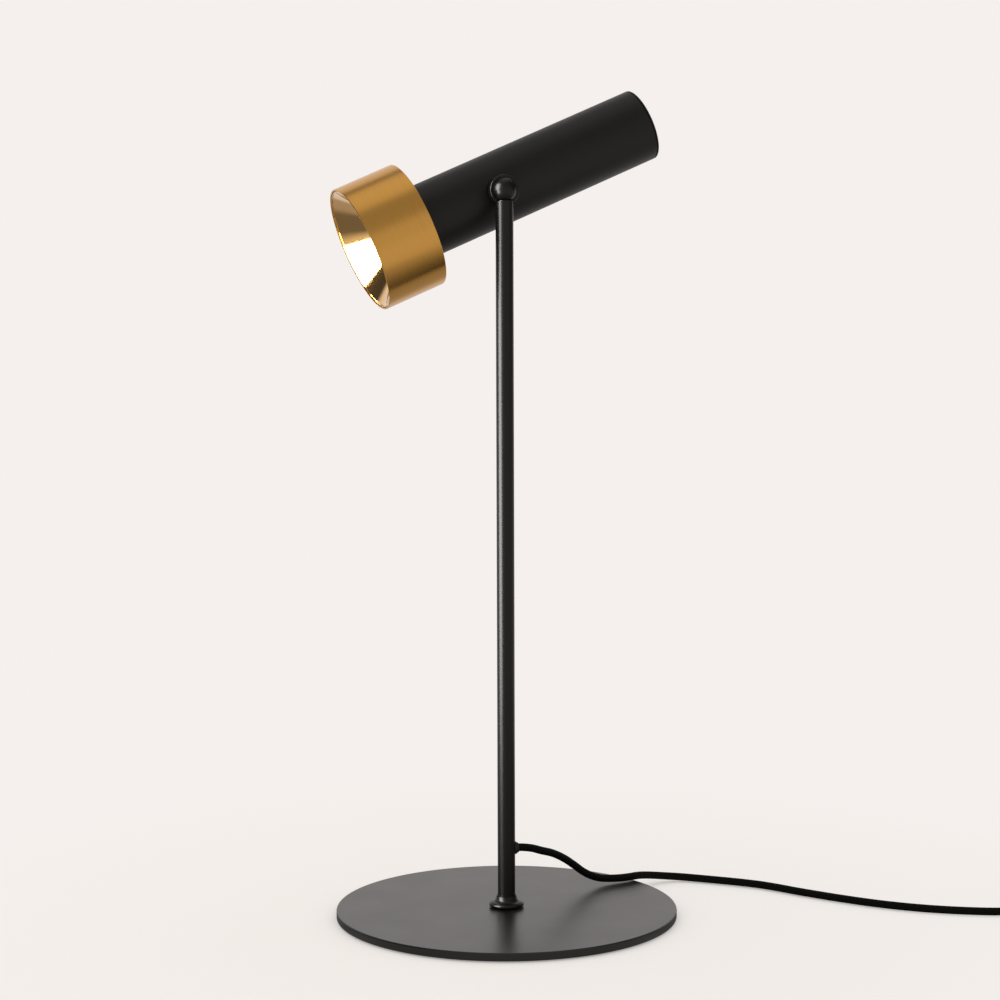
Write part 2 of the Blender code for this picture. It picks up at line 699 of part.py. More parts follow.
def make_saddles(looks, head):
    """Round pads that seat on the tube: a hollow face outside and a crowned face inside."""
    along_pivot = (-math.pi / 2, 0, 0)
    along_tube = (0, math.pi / 2, 0)
    tube_axis = (0, TUBE_OFFSET, 0)
    reach = WASHER_RADIUS + CUT_OVERRUN

    flat_to_tube = TUBE_OFFSET - TUBE_RADIUS
    blank = pipe_outline(WASHER_RADIUS, PIVOT_BORE, SADDLE_START, flat_to_tube + CUT_OVERRUN)
    outer = piece(
        "pivot_saddle",
        turned_shape(blank, SMALL_SEGMENTS),
        looks["coat"],
        parent=head,
        rotation=along_pivot,
    )
    hollow = rod_outline(TUBE_RADIUS + SEAT_GAP, -reach, reach)
    cut(
        outer,
        piece(
            "saddle_hollow_cutter",
            turned_shape(hollow, FINE_SEGMENTS),
            parent=head,
            location=tube_axis,
            rotation=along_tube,
        ),
    )

    blank = pipe_outline(INNER_SADDLE_RADIUS, PIVOT_BORE, flat_to_tube, INNER_SADDLE_END)
    inner = piece(
        "inner_saddle",
        turned_shape(blank, SMALL_SEGMENTS),
        looks["steel"],
        parent=head,
        rotation=along_pivot,
    )
    crown = pipe_outline(TUBE_RADIUS + reach, TUBE_BORE - SEAT_GAP, -reach, reach)
    cut(
        inner,
        piece(
            "saddle_crown_cutter",
            turned_shape(crown, FINE_SEGMENTS),
            parent=head,
            location=tube_axis,
            rotation=along_tube,
        ),
    )


def on_tube_axis(name, shape, look, head):
    """A piece whose local Z runs forward along the head tube's axis."""
    return piece(
        name, shape, look, parent=head, location=(0, TUBE_OFFSET, 0), rotation=(0, -math.pi / 2, 0)
    )


def make_head_tube(looks, head):
    """Tube with the pivot's hole, and the cap that closes its rear."""
    pipe = pipe_outline(TUBE_RADIUS, TUBE_BORE, TUBE_REAR, TUBE_FRONT)
    body = on_tube_axis("head_tube", turned_shape(pipe, FINE_SEGMENTS), looks["coat"], head)
    hole = rod_outline(PIVOT_BORE, SADDLE_START, INNER_SADDLE_END)
    cutter = piece(
        "tube_hole_cutter", turned_shape(hole, SMALL_SEGMENTS), parent=head, rotation=(-math.pi / 2, 0, 0)
    )
    cut(body, cutter)

    spigot = TUBE_BORE - SEAT_GAP
    spigot_front = TUBE_REAR + CAP_SPIGOT_LENGTH
    cap = softened(
        [
            (0, -HEAD_REAR),
            (TUBE_RADIUS, -HEAD_REAR, CAP_EDGE_ROUND),
            (TUBE_RADIUS, TUBE_REAR - SEAT_GAP),
            (spigot, TUBE_REAR - SEAT_GAP),
            (spigot, spigot_front),
            (spigot - CAP_SPIGOT_WALL, spigot_front),
            (spigot - CAP_SPIGOT_WALL, TUBE_REAR - SEAT_GAP),
            (0, TUBE_REAR - SEAT_GAP),
        ]
    )
    on_tube_axis("rear_cap", turned_shape(cap, FINE_SEGMENTS), looks["coat"], head)


def make_shade(looks, head):
    """Brass ring with a flat back wall, and the slotted nut that clamps it to the heat sink's nose."""
    hole = SINK_NOSE_RADIUS + SEAT_GAP
    back_inside = SHADE_REAR + SHADE_BACK_THICKNESS
    ring = softened(
        [
            (hole, SHADE_REAR),
            (SHADE_RADIUS, SHADE_REAR, SHADE_EDGE_ROUND),
            (SHADE_RADIUS, SHADE_FRONT, SHADE_EDGE_ROUND),
            (SHADE_BORE, SHADE_FRONT, SHADE_EDGE_ROUND),
            (SHADE_BORE, back_inside),
            (hole, back_inside),
        ]
    )
    on_tube_axis("shade_ring", turned_shape(ring, FINE_SEGMENTS), looks["brass"], head)

    start = back_inside + SEAT_GAP
    end = start + RING_NUT_HEIGHT
    nut = on_tube_axis(
        "shade_ring_nut",
        turned_shape(pipe_outline(RING_NUT_RADIUS, hole, start, end), ROUND_SEGMENTS),
        looks["steel"],
        head,
    )
    half = RING_NUT_SLOT_WIDTH / 2
    reach = RING_NUT_RADIUS + CUT_OVERRUN
    slots = bmesh.new()
    for index in range(RING_NUT_SLOTS):
        turn = Matrix.Rotation(2 * math.pi * index / RING_NUT_SLOTS, 4, "Z")
        slot = box_shape(
            (RING_NUT_RADIUS - RING_NUT_SLOT_DEPTH, -half, start - CUT_OVERRUN),
            (reach, half, end + CUT_OVERRUN),
        )
        slot.transform(turn)
        scratch = bpy.data.meshes.new("slot")
        slot.to_mesh(scratch)
        slot.free()
        slots.from_mesh(scratch)
        bpy.data.meshes.remove(scratch)
    cut(nut, on_tube_axis("ring_nut_slot_cutter", slots, None, head))


def reflector_radius(share):
    """Radius of the mirror's inner face, from its throat (0) to the band behind its rim (1)."""
    mouth = SHADE_BORE - SEAT_GAP - REFLECTOR_WALL
    return REFLECTOR_THROAT_RADIUS + (mouth - REFLECTOR_THROAT_RADIUS) * share**REFLECTOR_BULGE_SHARE


def make_reflector(looks, head):
    """Mirror cone from the light board out to the shade's rim, with a short straight band at the front."""
    seat = BOARD_END + SEAT_GAP
    throat = seat + REFLECTOR_WALL
    rim = SHADE_FRONT - REFLECTOR_INSET
    band = rim - REFLECTOR_BAND
    inside = []
    for step in range(REFLECTOR_STEPS + 1):
        share = step / REFLECTOR_STEPS
        inside.append((reflector_radius(share), throat + (band - throat) * share))
    slant = math.hypot(reflector_radius(1) - REFLECTOR_THROAT_RADIUS, band - throat)
    rearward = REFLECTOR_WALL * slant / (reflector_radius(1) - REFLECTOR_THROAT_RADIUS)
    outside = [(r + REFLECTOR_WALL * (band - throat) / slant, z - rearward / 2) for r, z in inside]
    outside = [point for point in outside if REFLECTOR_SEAT_RADIUS < point[0] < SHADE_BORE - SEAT_GAP]
    outer_mouth = SHADE_BORE - SEAT_GAP
    outline = (
        [(REFLECTOR_THROAT_RADIUS, seat), (REFLECTOR_SEAT_RADIUS, seat)]
        + outside
        + [(outer_mouth, band - REFLECTOR_WALL / 2), (outer_mouth, rim)]
        + [(reflector_radius(1), rim)]
        + inside[::-1]
    )
    on_tube_axis("reflector", turned_shape(outline, FINE_SEGMENTS), looks["mirror"], head)


def make_heat_sink(looks, head):
    """Finned core inside the tube, a disc at its front and a threaded nose through the shade's back."""
    disc_start = TUBE_FRONT - SINK_DISC_THICKNESS
    fin_start = TUBE_FRONT - SINK_LENGTH
    outline = [
        (0, disc_start),
        (SINK_RADIUS, disc_start),
        (SINK_RADIUS, TUBE_FRONT),
        (SINK_NOSE_RADIUS, TUBE_FRONT),
        (SINK_NOSE_RADIUS, SINK_NOSE_END),
        (0, SINK_NOSE_END),
    ]
    sink = on_tube_axis("heat_sink", turned_shape(outline, ROUND_SEGMENTS), looks["aluminium"], head)
    half = SINK_FIN_THICKNESS / 2
    pitch = 2 * math.pi / SINK_FINS
    root = half / math.sin(pitch / 2)
    star = []
    for index in range(SINK_FINS):
        turn = pitch * index
        out = Vector((math.cos(turn), math.sin(turn)))
        side = Vector((-out.y, out.x))
        valley = Vector((math.cos(turn + pitch / 2), math.sin(turn + pitch / 2)))
        star.append(out * SINK_CORE_RADIUS - side * half)
        star.append(out * (SINK_RADIUS - half) - side * half)
        star.append(out * (SINK_RADIUS - half) + side * half)
        star.append(out * SINK_CORE_RADIUS + side * half)
        star.append(valley * max(root, SINK_CORE_RADIUS))
    fins = extruded_shape([tuple(point) for point in star], fin_start, disc_start + SINK_DISC_THICKNESS / 2)
    weld(sink, on_tube_axis("heat_sink_fins", fins, None, head))
    for above in (LEAD_SPREAD, -LEAD_SPREAD):
        way = rod_outline(LEAD_RADIUS + SEAT_GAP, disc_start - CUT_OVERRUN, SINK_NOSE_END + CUT_OVERRUN)
        shape = turned_shape(way, TINY_SEGMENTS)
        shape.transform(Matrix.Translation((above, LEAD_BESIDE, 0)))
        cut(sink, on_tube_axis(f"heat_sink_way_cutter_{above > 0:d}", shape, None, head))


def make_light(looks, head):
    """Light board, its round emitter and the frosted dome over it."""
    board = rod_outline(BOARD_RADIUS, BOARD_START, BOARD_END)
    on_tube_axis("light_board", turned_shape(board, ROUND_SEGMENTS), looks["white"], head)
    start = BOARD_END + SEAT_GAP
    emitter = rod_outline(EMITTER_RADIUS, start, start + EMITTER_THICKNESS)
    on_tube_axis("light_emitter", turned_shape(emitter, SMALL_SEGMENTS), looks["emitter"], head)

    def arc(radius, height, order):
        turns = [math.pi / 2 * step / DOME_STEPS for step in order]
        return [(radius * math.cos(turn), height * math.sin(turn)) for turn in turns]

    outer = arc(DOME_RADIUS, DOME_HEIGHT, range(DOME_STEPS))
    inner = arc(DOME_RADIUS - DOME_WALL, DOME_HEIGHT - DOME_WALL, range(DOME_STEPS - 1, -1, -1))
    outline = outer + [(0, DOME_HEIGHT), (0, DOME_HEIGHT - DOME_WALL)] + inner
    dome = [(radius, start + height) for radius, height in outline]
    on_tube_axis("diffuser_dome", turned_shape(dome, SMALL_SEGMENTS), looks["frost"], head)


def make_driver(looks, head):
    """Driver that fits the tube by its long edges, and the terminal block on its front."""
    half_width = TUBE_BORE * DRIVER_WIDTH_SHARE
    inner = half_width - DRIVER_EDGE_ROUND
    limit = TUBE_BORE - SEAT_GAP - DRIVER_EDGE_ROUND
    half_height = math.sqrt(limit**2 - inner**2) + DRIVER_EDGE_ROUND
    outline = softened(
        [
            (half_height, half_width, DRIVER_EDGE_ROUND),
            (-half_height, half_width, DRIVER_EDGE_ROUND),
            (-half_height, -half_width, DRIVER_EDGE_ROUND),
            (half_height, -half_width, DRIVER_EDGE_ROUND),
        ]
    )
    on_tube_axis("light_driver", extruded_shape(outline, DRIVER_REAR, DRIVER_FRONT), looks["white"], head)
    half_high = TERMINAL_HEIGHT / 2
    half_wide = TERMINAL_WIDTH / 2
    block = box_shape(
        (-half_high, -half_wide, DRIVER_FRONT + SEAT_GAP), (half_high, half_wide, TERMINAL_FRONT)
    )
    on_tube_axis("terminal_block", block, looks["white"], head)


def make_stem_wires(looks):
    """Two wires from the cord's end, up the stem with a quarter twist, and out along the pivot bolt."""
    start = ROUTE_TO_SWITCH_MM[0][0] * MM - SEAT_GAP
    low = EXIT_HEIGHT + WIRE_BEND
    high = PIVOT_HEIGHT - WIRE_BEND
    for name, side, look in (("stem_wire_live", 1, "brown"), ("stem_wire_neutral", -1, "blue")):
        offset = side * WIRE_SPREAD
        points = [(start, offset, EXIT_HEIGHT)]
        for step in range(WIRE_BEND_STEPS + 1):
            turn = math.pi / 2 * step / WIRE_BEND_STEPS
            points.append((WIRE_BEND * (1 - math.sin(turn)), offset, low - WIRE_BEND * math.cos(turn)))
        for step in range(1, WIRE_TWIST_STEPS):
            share = step / WIRE_TWIST_STEPS
            turn = math.pi / 2 * share
            x = -offset * math.sin(turn)
            points.append((x, offset * math.cos(turn), low + (high - low) * share))
        for step in range(WIRE_BEND_STEPS + 1):
            turn = math.pi / 2 * step / WIRE_BEND_STEPS
            y = WIRE_BEND * (1 - math.cos(turn))
            points.append((-offset, y, high + WIRE_BEND * math.sin(turn)))
        points.append((-offset, BOLT_END, PIVOT_HEIGHT))
        tube(name, points, LEAD_RADIUS, looks[look], sides=1)


def make_head_wires(looks, head):
    """Wires from the pivot bolt to the terminal block, and leads from the driver to the light board."""
    start = BOLT_END + SEAT_GAP
    reach_in = TUBE_OFFSET - start
    block_face = -TERMINAL_FRONT - SEAT_GAP
    for name, side, look in (("head_wire_live", 1, "brown"), ("head_wire_neutral", -1, "blue")):
        spread = side * WIRE_SPREAD
        points = []
        for step in range(HEAD_WIRE_STEPS + 1):
            turn = math.pi / 2 * step / HEAD_WIRE_STEPS
            x = block_face * (1 - math.cos(turn)) - spread * math.cos(turn)
            y = start + reach_in * math.sin(turn) + spread * math.sin(turn)
            points.append((x, y, 0))
        tube(name, points, LEAD_RADIUS, looks[look], sides=1, parent=head)
    for name, side, look in (("light_lead_plus", 1, "red"), ("light_lead_minus", -1, "black_wire")):
        above = side * LEAD_SPREAD
        beside = TUBE_OFFSET + LEAD_BESIDE
        ends = (-DRIVER_FRONT - SEAT_GAP, -SINK_NOSE_END)
        tube(
            name,
            [(ends[0], beside, above), (ends[1], beside, above)],
            LEAD_RADIUS,
            looks[look],
            sides=1,
            parent=head,
        )


def coil_points():
    """The coiled length: layers that spiral in and out in turn and climb where the spiral reverses."""
    turns = COIL_LAYERS * COIL_TURNS_PER_LAYER
    count = turns * COIL_POINTS_PER_TURN
    points = []
    for step in range(count + 1):
        layers_done = step / COIL_POINTS_PER_TURN / COIL_TURNS_PER_LAYER
        into_pair = layers_done % 2
        inward = into_pair if into_pair <= 1 else 2 - into_pair
        radius = COIL_OUTER_RADIUS - (COIL_OUTER_RADIUS - COIL_INNER_RADIUS) * inward
        height = COIL_BOTTOM
        half_turn = 0.5 / COIL_TURNS_PER_LAYER
        for climb in range(1, COIL_LAYERS):
            share = min(1, max(0, (layers_done - climb) / half_turn + 0.5))
            height += COIL_PITCH * share * share * (3 - 2 * share)
        turn = 2 * math.pi * step / COIL_POINTS_PER_TURN
        points.append(
            (COIL_MIDDLE[0] + radius * math.cos(turn), COIL_MIDDLE[1] + radius * math.sin(turn), height)
        )
    first, last = points[0], points[-1]
    before = (first[0], first[1] - CORD_DIAMETER, first[2])
    after = (last[0], last[1] + CORD_DIAMETER, last[2])
    return [before, *points, after]


def least_gap(points, radius):
    """The least distance from a tube's skin to itself, measured between points along its line."""
    line = smooth_route(points, CORD_RADIUS / 2)
    along = np.concatenate(([0], np.cumsum(np.linalg.norm(np.diff(line, axis=0), axis=1))))
    least = math.inf
    for place, point in zip(along, line):
        apart = np.abs(along - place) > NEIGHBOUR_DIAMETERS * 2 * radius
        least = min(least, float(np.linalg.norm(line[apart] - point, axis=1).min()))
    return least - 2 * radius


def switch_point(along, beside, height):
    """A place given along the switch, beside it and above the table."""
    heading = Vector((math.cos(SWITCH_HEADING), math.sin(SWITCH_HEADING)))
    left = Vector((-heading.y, heading.x))
    spot = Vector(SWITCH_MIDDLE) + heading * along + left * beside
    return (spot.x, spot.y, height)


def make_cord(looks):
    """The cord in four runs: to the switch, on to the coil, the coil, and the tail to the plug."""
    spacing = CORD_SPACING_DIAMETERS * CORD_DIAMETER
    nose = SWITCH_LENGTH / 2 + SWITCH_NOSE_LENGTH + SEAT_GAP
    middle = SWITCH_HEIGHT / 2

    route = [tuple(value * MM for value in point) for point in ROUTE_TO_SWITCH_MM]
    route += [
        switch_point(-nose - CORD_DIAMETER, 0, middle),
        switch_point(-nose, 0, middle),
    ]
    first_run = smooth_route(route, spacing)
    tube("cord_to_switch", first_run, CORD_RADIUS, looks["cord"], sides=3)

    coil = coil_points()
    start = Vector(coil[0])
    route = [switch_point(nose, 0, middle), switch_point(nose + CORD_DIAMETER, 0, middle)]
    route += [tuple(value * MM for value in point) for point in ROUTE_TO_COIL_MM]
    route += [start - Vector((0, CORD_DIAMETER, 0)), start - Vector((0, SEAT_GAP, 0))]
    second_run = smooth_route([tuple(point) for point in route], spacing)
    tube("cord_to_coil", second_run, CORD_RADIUS, looks["cord"], sides=3)

    tube("cord_coil", coil, CORD_RADIUS, looks["cord"], sides=1)
    print("least gap in the coil, mm:", round(least_gap(coil, CORD_RADIUS) / MM, 2))

    end = Vector(coil[-1]) + Vector((0, SEAT_GAP, 0))
    drop = COIL_TOP - PLUG_HEIGHT / 2
    route = [
        end,
        end + Vector((0, CORD_DIAMETER, 0)),
        end + Vector((0, TAIL_LENGTH / 2, -drop / 2)),
        end + Vector((0, TAIL_LENGTH - CORD_DIAMETER, -drop)),
        end + Vector((0, TAIL_LENGTH, -drop)),
    ]
    last_run = smooth_route([tuple(point) for point in route], spacing)
    tube("cord_tail", last_run, CORD_RADIUS, looks["cord"], sides=3)
    total = sum(length_of(run) for run in (first_run, second_run, coil, last_run)) + 2 * nose
    print("cord from stem to plug, m:", round(total, 3))
    return Vector((end.x, end.y + TAIL_LENGTH + SEAT_GAP, PLUG_HEIGHT / 2))


def make_coil_tie(looks):
    """Flat strap round the coil's bundle, opposite to where the cord comes in."""
    half = TIE_WIDTH / 2
    inner_edge = COIL_INNER_RADIUS - CORD_RADIUS
    inner = math.sqrt(inner_edge**2 - half**2) - TIE_CLEARANCE
    outer = COIL_OUTER_RADIUS + CORD_RADIUS + TIE_CLEARANCE
    top = COIL_TOP + CORD_RADIUS + TIE_CLEARANCE
    band = extruded_shape(
        softened(
            [
                (-outer - TIE_THICKNESS, 0, TIE_THICKNESS),
                (-inner + TIE_THICKNESS, 0, TIE_THICKNESS),
                (-inner + TIE_THICKNESS, top + TIE_THICKNESS, TIE_THICKNESS),
                (-outer - TIE_THICKNESS, top + TIE_THICKNESS, TIE_THICKNESS),
            ]
        ),
        -half,
        half,
    )
    upright = (math.pi / 2, 0, 0)
    place = (*COIL_MIDDLE, 0)
    tie = piece("coil_tie", band, looks["rubber"], location=place, rotation=upright)
    way = box_shape((-outer, TIE_THICKNESS, -TIE_WIDTH), (-inner, top, TIE_WIDTH))
    cut(tie, piece("coil_tie_cutter", way, location=place, rotation=upright))


def switch_outline():
    """Boat-shaped outline of the switch, wide in the middle and blunt at its ends."""
    half_length = SWITCH_LENGTH / 2
    half_end = SWITCH_END_WIDTH / 2
    swell = SWITCH_WIDTH / 2 - half_end
    edge = []
    for step in range(SWITCH_OUTLINE_STEPS + 1):
        turn = math.pi * step / SWITCH_OUTLINE_STEPS
        x = half_length * math.cos(turn)
        share = 1 - abs(math.cos(turn)) ** SWITCH_OUTLINE_POWER
        edge.append((x, half_end + swell * math.sqrt(max(0, share))))
    return edge + [(x, -y) for x, y in reversed(edge)]


def rounded_slab(outline, low, high, round_top):
    """An extruded outline with one end's edges rounded."""
    shape = extruded_shape(outline, low, high)
    level = high if round_top else low
    rim = [edge for edge in shape.edges if all(abs(v.co.z - level) < MERGE_DISTANCE for v in edge.verts)]
    bmesh.ops.bevel(
        shape, geom=rim, offset=SWITCH_EDGE_ROUND, segments=CORNER_STEPS, profile=0.5, affect="EDGES"
    )
    bmesh.ops.remove_doubles(shape, verts=shape.verts, dist=MERGE_DISTANCE)
    return shape


def make_switch(looks):
    """Inline switch: base with tapered cord noses, cover with the rocker's well, rocker and two screws."""
    place = empty("switch_place", location=(*SWITCH_MIDDLE, 0), rotation=(0, 0, SWITCH_HEADING))
    split = SWITCH_HEIGHT / 2
    outline = switch_outline()
    half_length = SWITCH_LENGTH / 2

    base_top = split - SEAT_GAP / 2
    base = piece(
        "switch_base", rounded_slab(outline, 0, base_top, False), looks["plastic"], parent=place
    )
    cover_low = split + SEAT_GAP / 2
    cover = piece(
        "switch_cover", rounded_slab(outline, cover_low, SWITCH_HEIGHT, True), looks["plastic"], parent=place
    )
    for side in (-1, 1):
        nose = [
            (0, half_length - SWITCH_EDGE_ROUND),
            (SWITCH_NOSE_RADIUS, half_length - SWITCH_EDGE_ROUND),
            (SWITCH_NOSE_RADIUS, half_length),
            (SWITCH_NOSE_TIP_RADIUS, half_length + SWITCH_NOSE_LENGTH),
            (0, half_length + SWITCH_NOSE_LENGTH),
        ]
        shape = turned_shape(nose, TINY_SEGMENTS)
        shape.transform(Matrix.Rotation(side * math.pi / 2, 4, "Y"))
        shape.transform(Matrix.Translation((0, 0, split)))
        nose_piece = piece(f"switch_nose_{side > 0:d}", shape, parent=place)
        weld(base, nose_piece)
        room = [
            (0, half_length - SWITCH_EDGE_ROUND - SEAT_GAP),
            (SWITCH_NOSE_RADIUS + SEAT_GAP, half_length - SWITCH_EDGE_ROUND - SEAT_GAP),
            (SWITCH_NOSE_RADIUS + SEAT_GAP, half_length + CUT_OVERRUN),
            (0, half_length + CUT_OVERRUN),
        ]
        shape = turned_shape(room, TINY_SEGMENTS)
        shape.transform(Matrix.Rotation(side * math.pi / 2, 4, "Y"))
        shape.transform(Matrix.Translation((0, 0, split)))
        cut(cover, piece(f"switch_nose_room_{side > 0:d}", shape, parent=place))

    make_rocker(looks, place, cover)
    for side in (-1, 1):
        spot = Matrix.Translation((side * half_length * SWITCH_SCREW_PLACE_SHARE, 0, 0))
        head_low = SWITCH_SCREW_SINK
        head_high = head_low + SWITCH_SCREW_HEAD_HEIGHT
        screw = [
            (0, head_low),
            (SWITCH_SCREW_HEAD_RADIUS, head_low),
            (SWITCH_SCREW_HEAD_RADIUS, head_high),
            (SWITCH_SCREW_RADIUS, head_high),
            (SWITCH_SCREW_RADIUS, head_low + SWITCH_SCREW_LENGTH),
            (0, head_low + SWITCH_SCREW_LENGTH),
        ]
        shape = turned_shape(screw, TINY_SEGMENTS)
        shape.transform(spot)
        piece(f"switch_screw_{(side + 3) // 2}", shape, looks["steel"], parent=place)
        well = [
            (0, -CUT_OVERRUN),
            (SWITCH_SCREW_HEAD_RADIUS + SEAT_GAP, -CUT_OVERRUN),
            (SWITCH_SCREW_HEAD_RADIUS + SEAT_GAP, head_high + SEAT_GAP),
            (SWITCH_SCREW_RADIUS + SEAT_GAP, head_high + SEAT_GAP),
            (SWITCH_SCREW_RADIUS + SEAT_GAP, head_low + SWITCH_SCREW_LENGTH + SEAT_GAP),
            (0, head_low + SWITCH_SCREW_LENGTH + SEAT_GAP),
        ]
        shape = turned_shape(well, TINY_SEGMENTS)
        shape.transform(spot)
        cutter = piece(f"switch_well_cutter_{side > 0:d}", shape, parent=place)
        cut(base, cutter)
        cut(cover, cutter)


def make_rocker(looks, place, cover):
    """Rocker with a round belly and two stub pins, and its well and bores in the cover."""
    axis_height = SWITCH_HEIGHT - ROCKER_AXIS_DEPTH
    axis = empty("rocker_axis", location=(0, 0, axis_height), rotation=(0, -ROCKER_TILT, 0), parent=place)
    half_length = ROCKER_LENGTH / 2
    half_width = ROCKER_WIDTH / 2
    profile = [
        (-half_length, ROCKER_END_RISE),
        (-half_length, -ROCKER_END_DEPTH),
    ]
    for step in range(ROCKER_BELLY_STEPS + 1):
        turn = math.pi + math.pi * step / ROCKER_BELLY_STEPS
        profile.append((ROCKER_BELLY_RADIUS * math.cos(turn), ROCKER_BELLY_RADIUS * math.sin(turn)))
    del profile[2], profile[-1]
    profile += [
        (half_length, -ROCKER_END_DEPTH),
        (half_length, ROCKER_END_RISE),
        (0, ROCKER_MIDDLE_RISE),
    ]
    shape = extruded_shape(profile, -half_width, half_width)
    upright = Matrix.Rotation(math.pi / 2, 4, "X")
    shape.transform(upright)
    rocker = piece("switch_rocker", shape, looks["plastic"], parent=axis)
    reach = half_width + ROCKER_PIN_LENGTH
    pin = turned_shape(rod_outline(ROCKER_PIN_RADIUS, -reach, reach), TINY_SEGMENTS)
    pin.transform(upright)
    weld(rocker, piece("rocker_pin", pin, parent=axis))

    corner = math.hypot(half_length, ROCKER_END_RISE)
    corner_turn = math.atan2(ROCKER_END_RISE, half_length)
    well_half = corner * math.cos(corner_turn - ROCKER_TILT) + SEAT_GAP
    floor = axis_height - ROCKER_BELLY_RADIUS - SEAT_GAP
    side = half_width + SEAT_GAP
    well = box_shape((-well_half, -side, floor), (well_half, side, SWITCH_HEIGHT + CUT_OVERRUN))
    cut(cover, piece("rocker_well_cutter", well, parent=place))
    bore_reach = reach + SEAT_GAP
    bore = turned_shape(
        rod_outline(ROCKER_PIN_RADIUS + ROCKER_RUNNING_GAP, -bore_reach, bore_reach), TINY_SEGMENTS
    )
    bore.transform(upright)
    bore.transform(Matrix.Translation((0, 0, axis_height)))
    cut(cover, piece("rocker_bore_cutter", bore, parent=place))


def plug_section(x, half_width, half_height, power):
    """Points of one rounded cross-section of the plug, a superellipse."""
    points = []
    for step in range(PLUG_SECTION_POINTS):
        turn = 2 * math.pi * step / PLUG_SECTION_POINTS
        c, s = math.cos(turn), math.sin(turn)
        points.append(
            (
                x,
                half_width * math.copysign(abs(c) ** (2 / power), c),
                half_height * math.copysign(abs(s) ** (2 / power), s),
            )
        )
    return points


def make_plug(looks, tip):
    """Flat two-pin plug: one lofted body with a ribbed sleeve towards the cord, and two round pins."""
    place = empty("plug_place", location=tip, rotation=(0, 0, math.pi / 2))
    sections = [plug_section(0, PLUG_SLEEVE_TIP_RADIUS, PLUG_SLEEVE_TIP_RADIUS, ROUND_POWER)]
    for rib in range(PLUG_RIBS):
        for part in range(2):
            share = (rib + 0.5 + part / 2) / (PLUG_RIBS + 0.5)
            grown = PLUG_SLEEVE_TIP_RADIUS + (PLUG_SLEEVE_RADIUS - PLUG_SLEEVE_TIP_RADIUS) * share
            radius = grown + PLUG_RIB_RISE if part else grown
            sections.append(plug_section(PLUG_SLEEVE_LENGTH * share, radius, radius, ROUND_POWER))
    rear = PLUG_SLEEVE_LENGTH
    face = rear + PLUG_BODY_LENGTH
    shoulder = rear + PLUG_BODY_LENGTH * PLUG_SHOULDER_SHARE
    half_width, half_height = PLUG_WIDTH / 2, PLUG_HEIGHT / 2
    rear_width, rear_height = PLUG_REAR_WIDTH / 2, PLUG_REAR_HEIGHT / 2
    sections.append(plug_section(rear + PLUG_REAR_STEP, rear_width, rear_height, REAR_POWER))
    middle = (rear + shoulder) / 2
    sections.append(plug_section(middle, (rear_width + half_width) / 2, half_height, MIDDLE_POWER))
    sections.append(plug_section(shoulder, half_width, half_height, FACE_POWER))
    sections.append(plug_section(face - PLUG_FACE_CHAMFER, half_width, half_height, FACE_POWER))
    face_width = half_width - PLUG_FACE_CHAMFER
    face_height = half_height - PLUG_FACE_CHAMFER
    sections.append(plug_section(face, face_width, face_height, FACE_POWER))
    shape = bmesh.new()
    rings = [[shape.verts.new(point) for point in section] for section in sections]
    for near, far in zip(rings, rings[1:]):
        for index in range(PLUG_SECTION_POINTS):
            after = (index + 1) % PLUG_SECTION_POINTS
            shape.faces.new((near[index], near[after], far[after], far[index]))
    shape.faces.new(rings[0])
    shape.faces.new(rings[-1])
    body = piece("plug_body", shape, looks["plastic"], parent=place)

    for side in (-1, 1):
        inner_end = face - PIN_HOLE_DEPTH
        pin = softened(
            [
                (0, inner_end + SEAT_GAP),
                (PIN_RADIUS - PIN_SLEEVE_STEP, inner_end + SEAT_GAP),
                (PIN_RADIUS - PIN_SLEEVE_STEP, face + PIN_SLEEVE_LENGTH),
                (PIN_RADIUS, face + PIN_SLEEVE_LENGTH + PIN_SLEEVE_STEP),
                (PIN_RADIUS, face + PIN_LENGTH, PIN_TIP_ROUND),
                (0, face + PIN_LENGTH),
            ]
        )
        along = Matrix.Rotation(math.pi / 2, 4, "Y")
        beside = Matrix.Translation((0, side * PIN_SPACING / 2, 0))
        shape = turned_shape(pin, TINY_SEGMENTS)
        shape.transform(beside @ along)
        piece(f"plug_pin_{(side + 3) // 2}", shape, looks["brass"], parent=place)
        hole = turned_shape(rod_outline(PIN_RADIUS, inner_end, face + CUT_OVERRUN), TINY_SEGMENTS)
        hole.transform(beside @ along)
        cut(body, piece(f"plug_pin_cutter_{side > 0:d}", hole, parent=place))


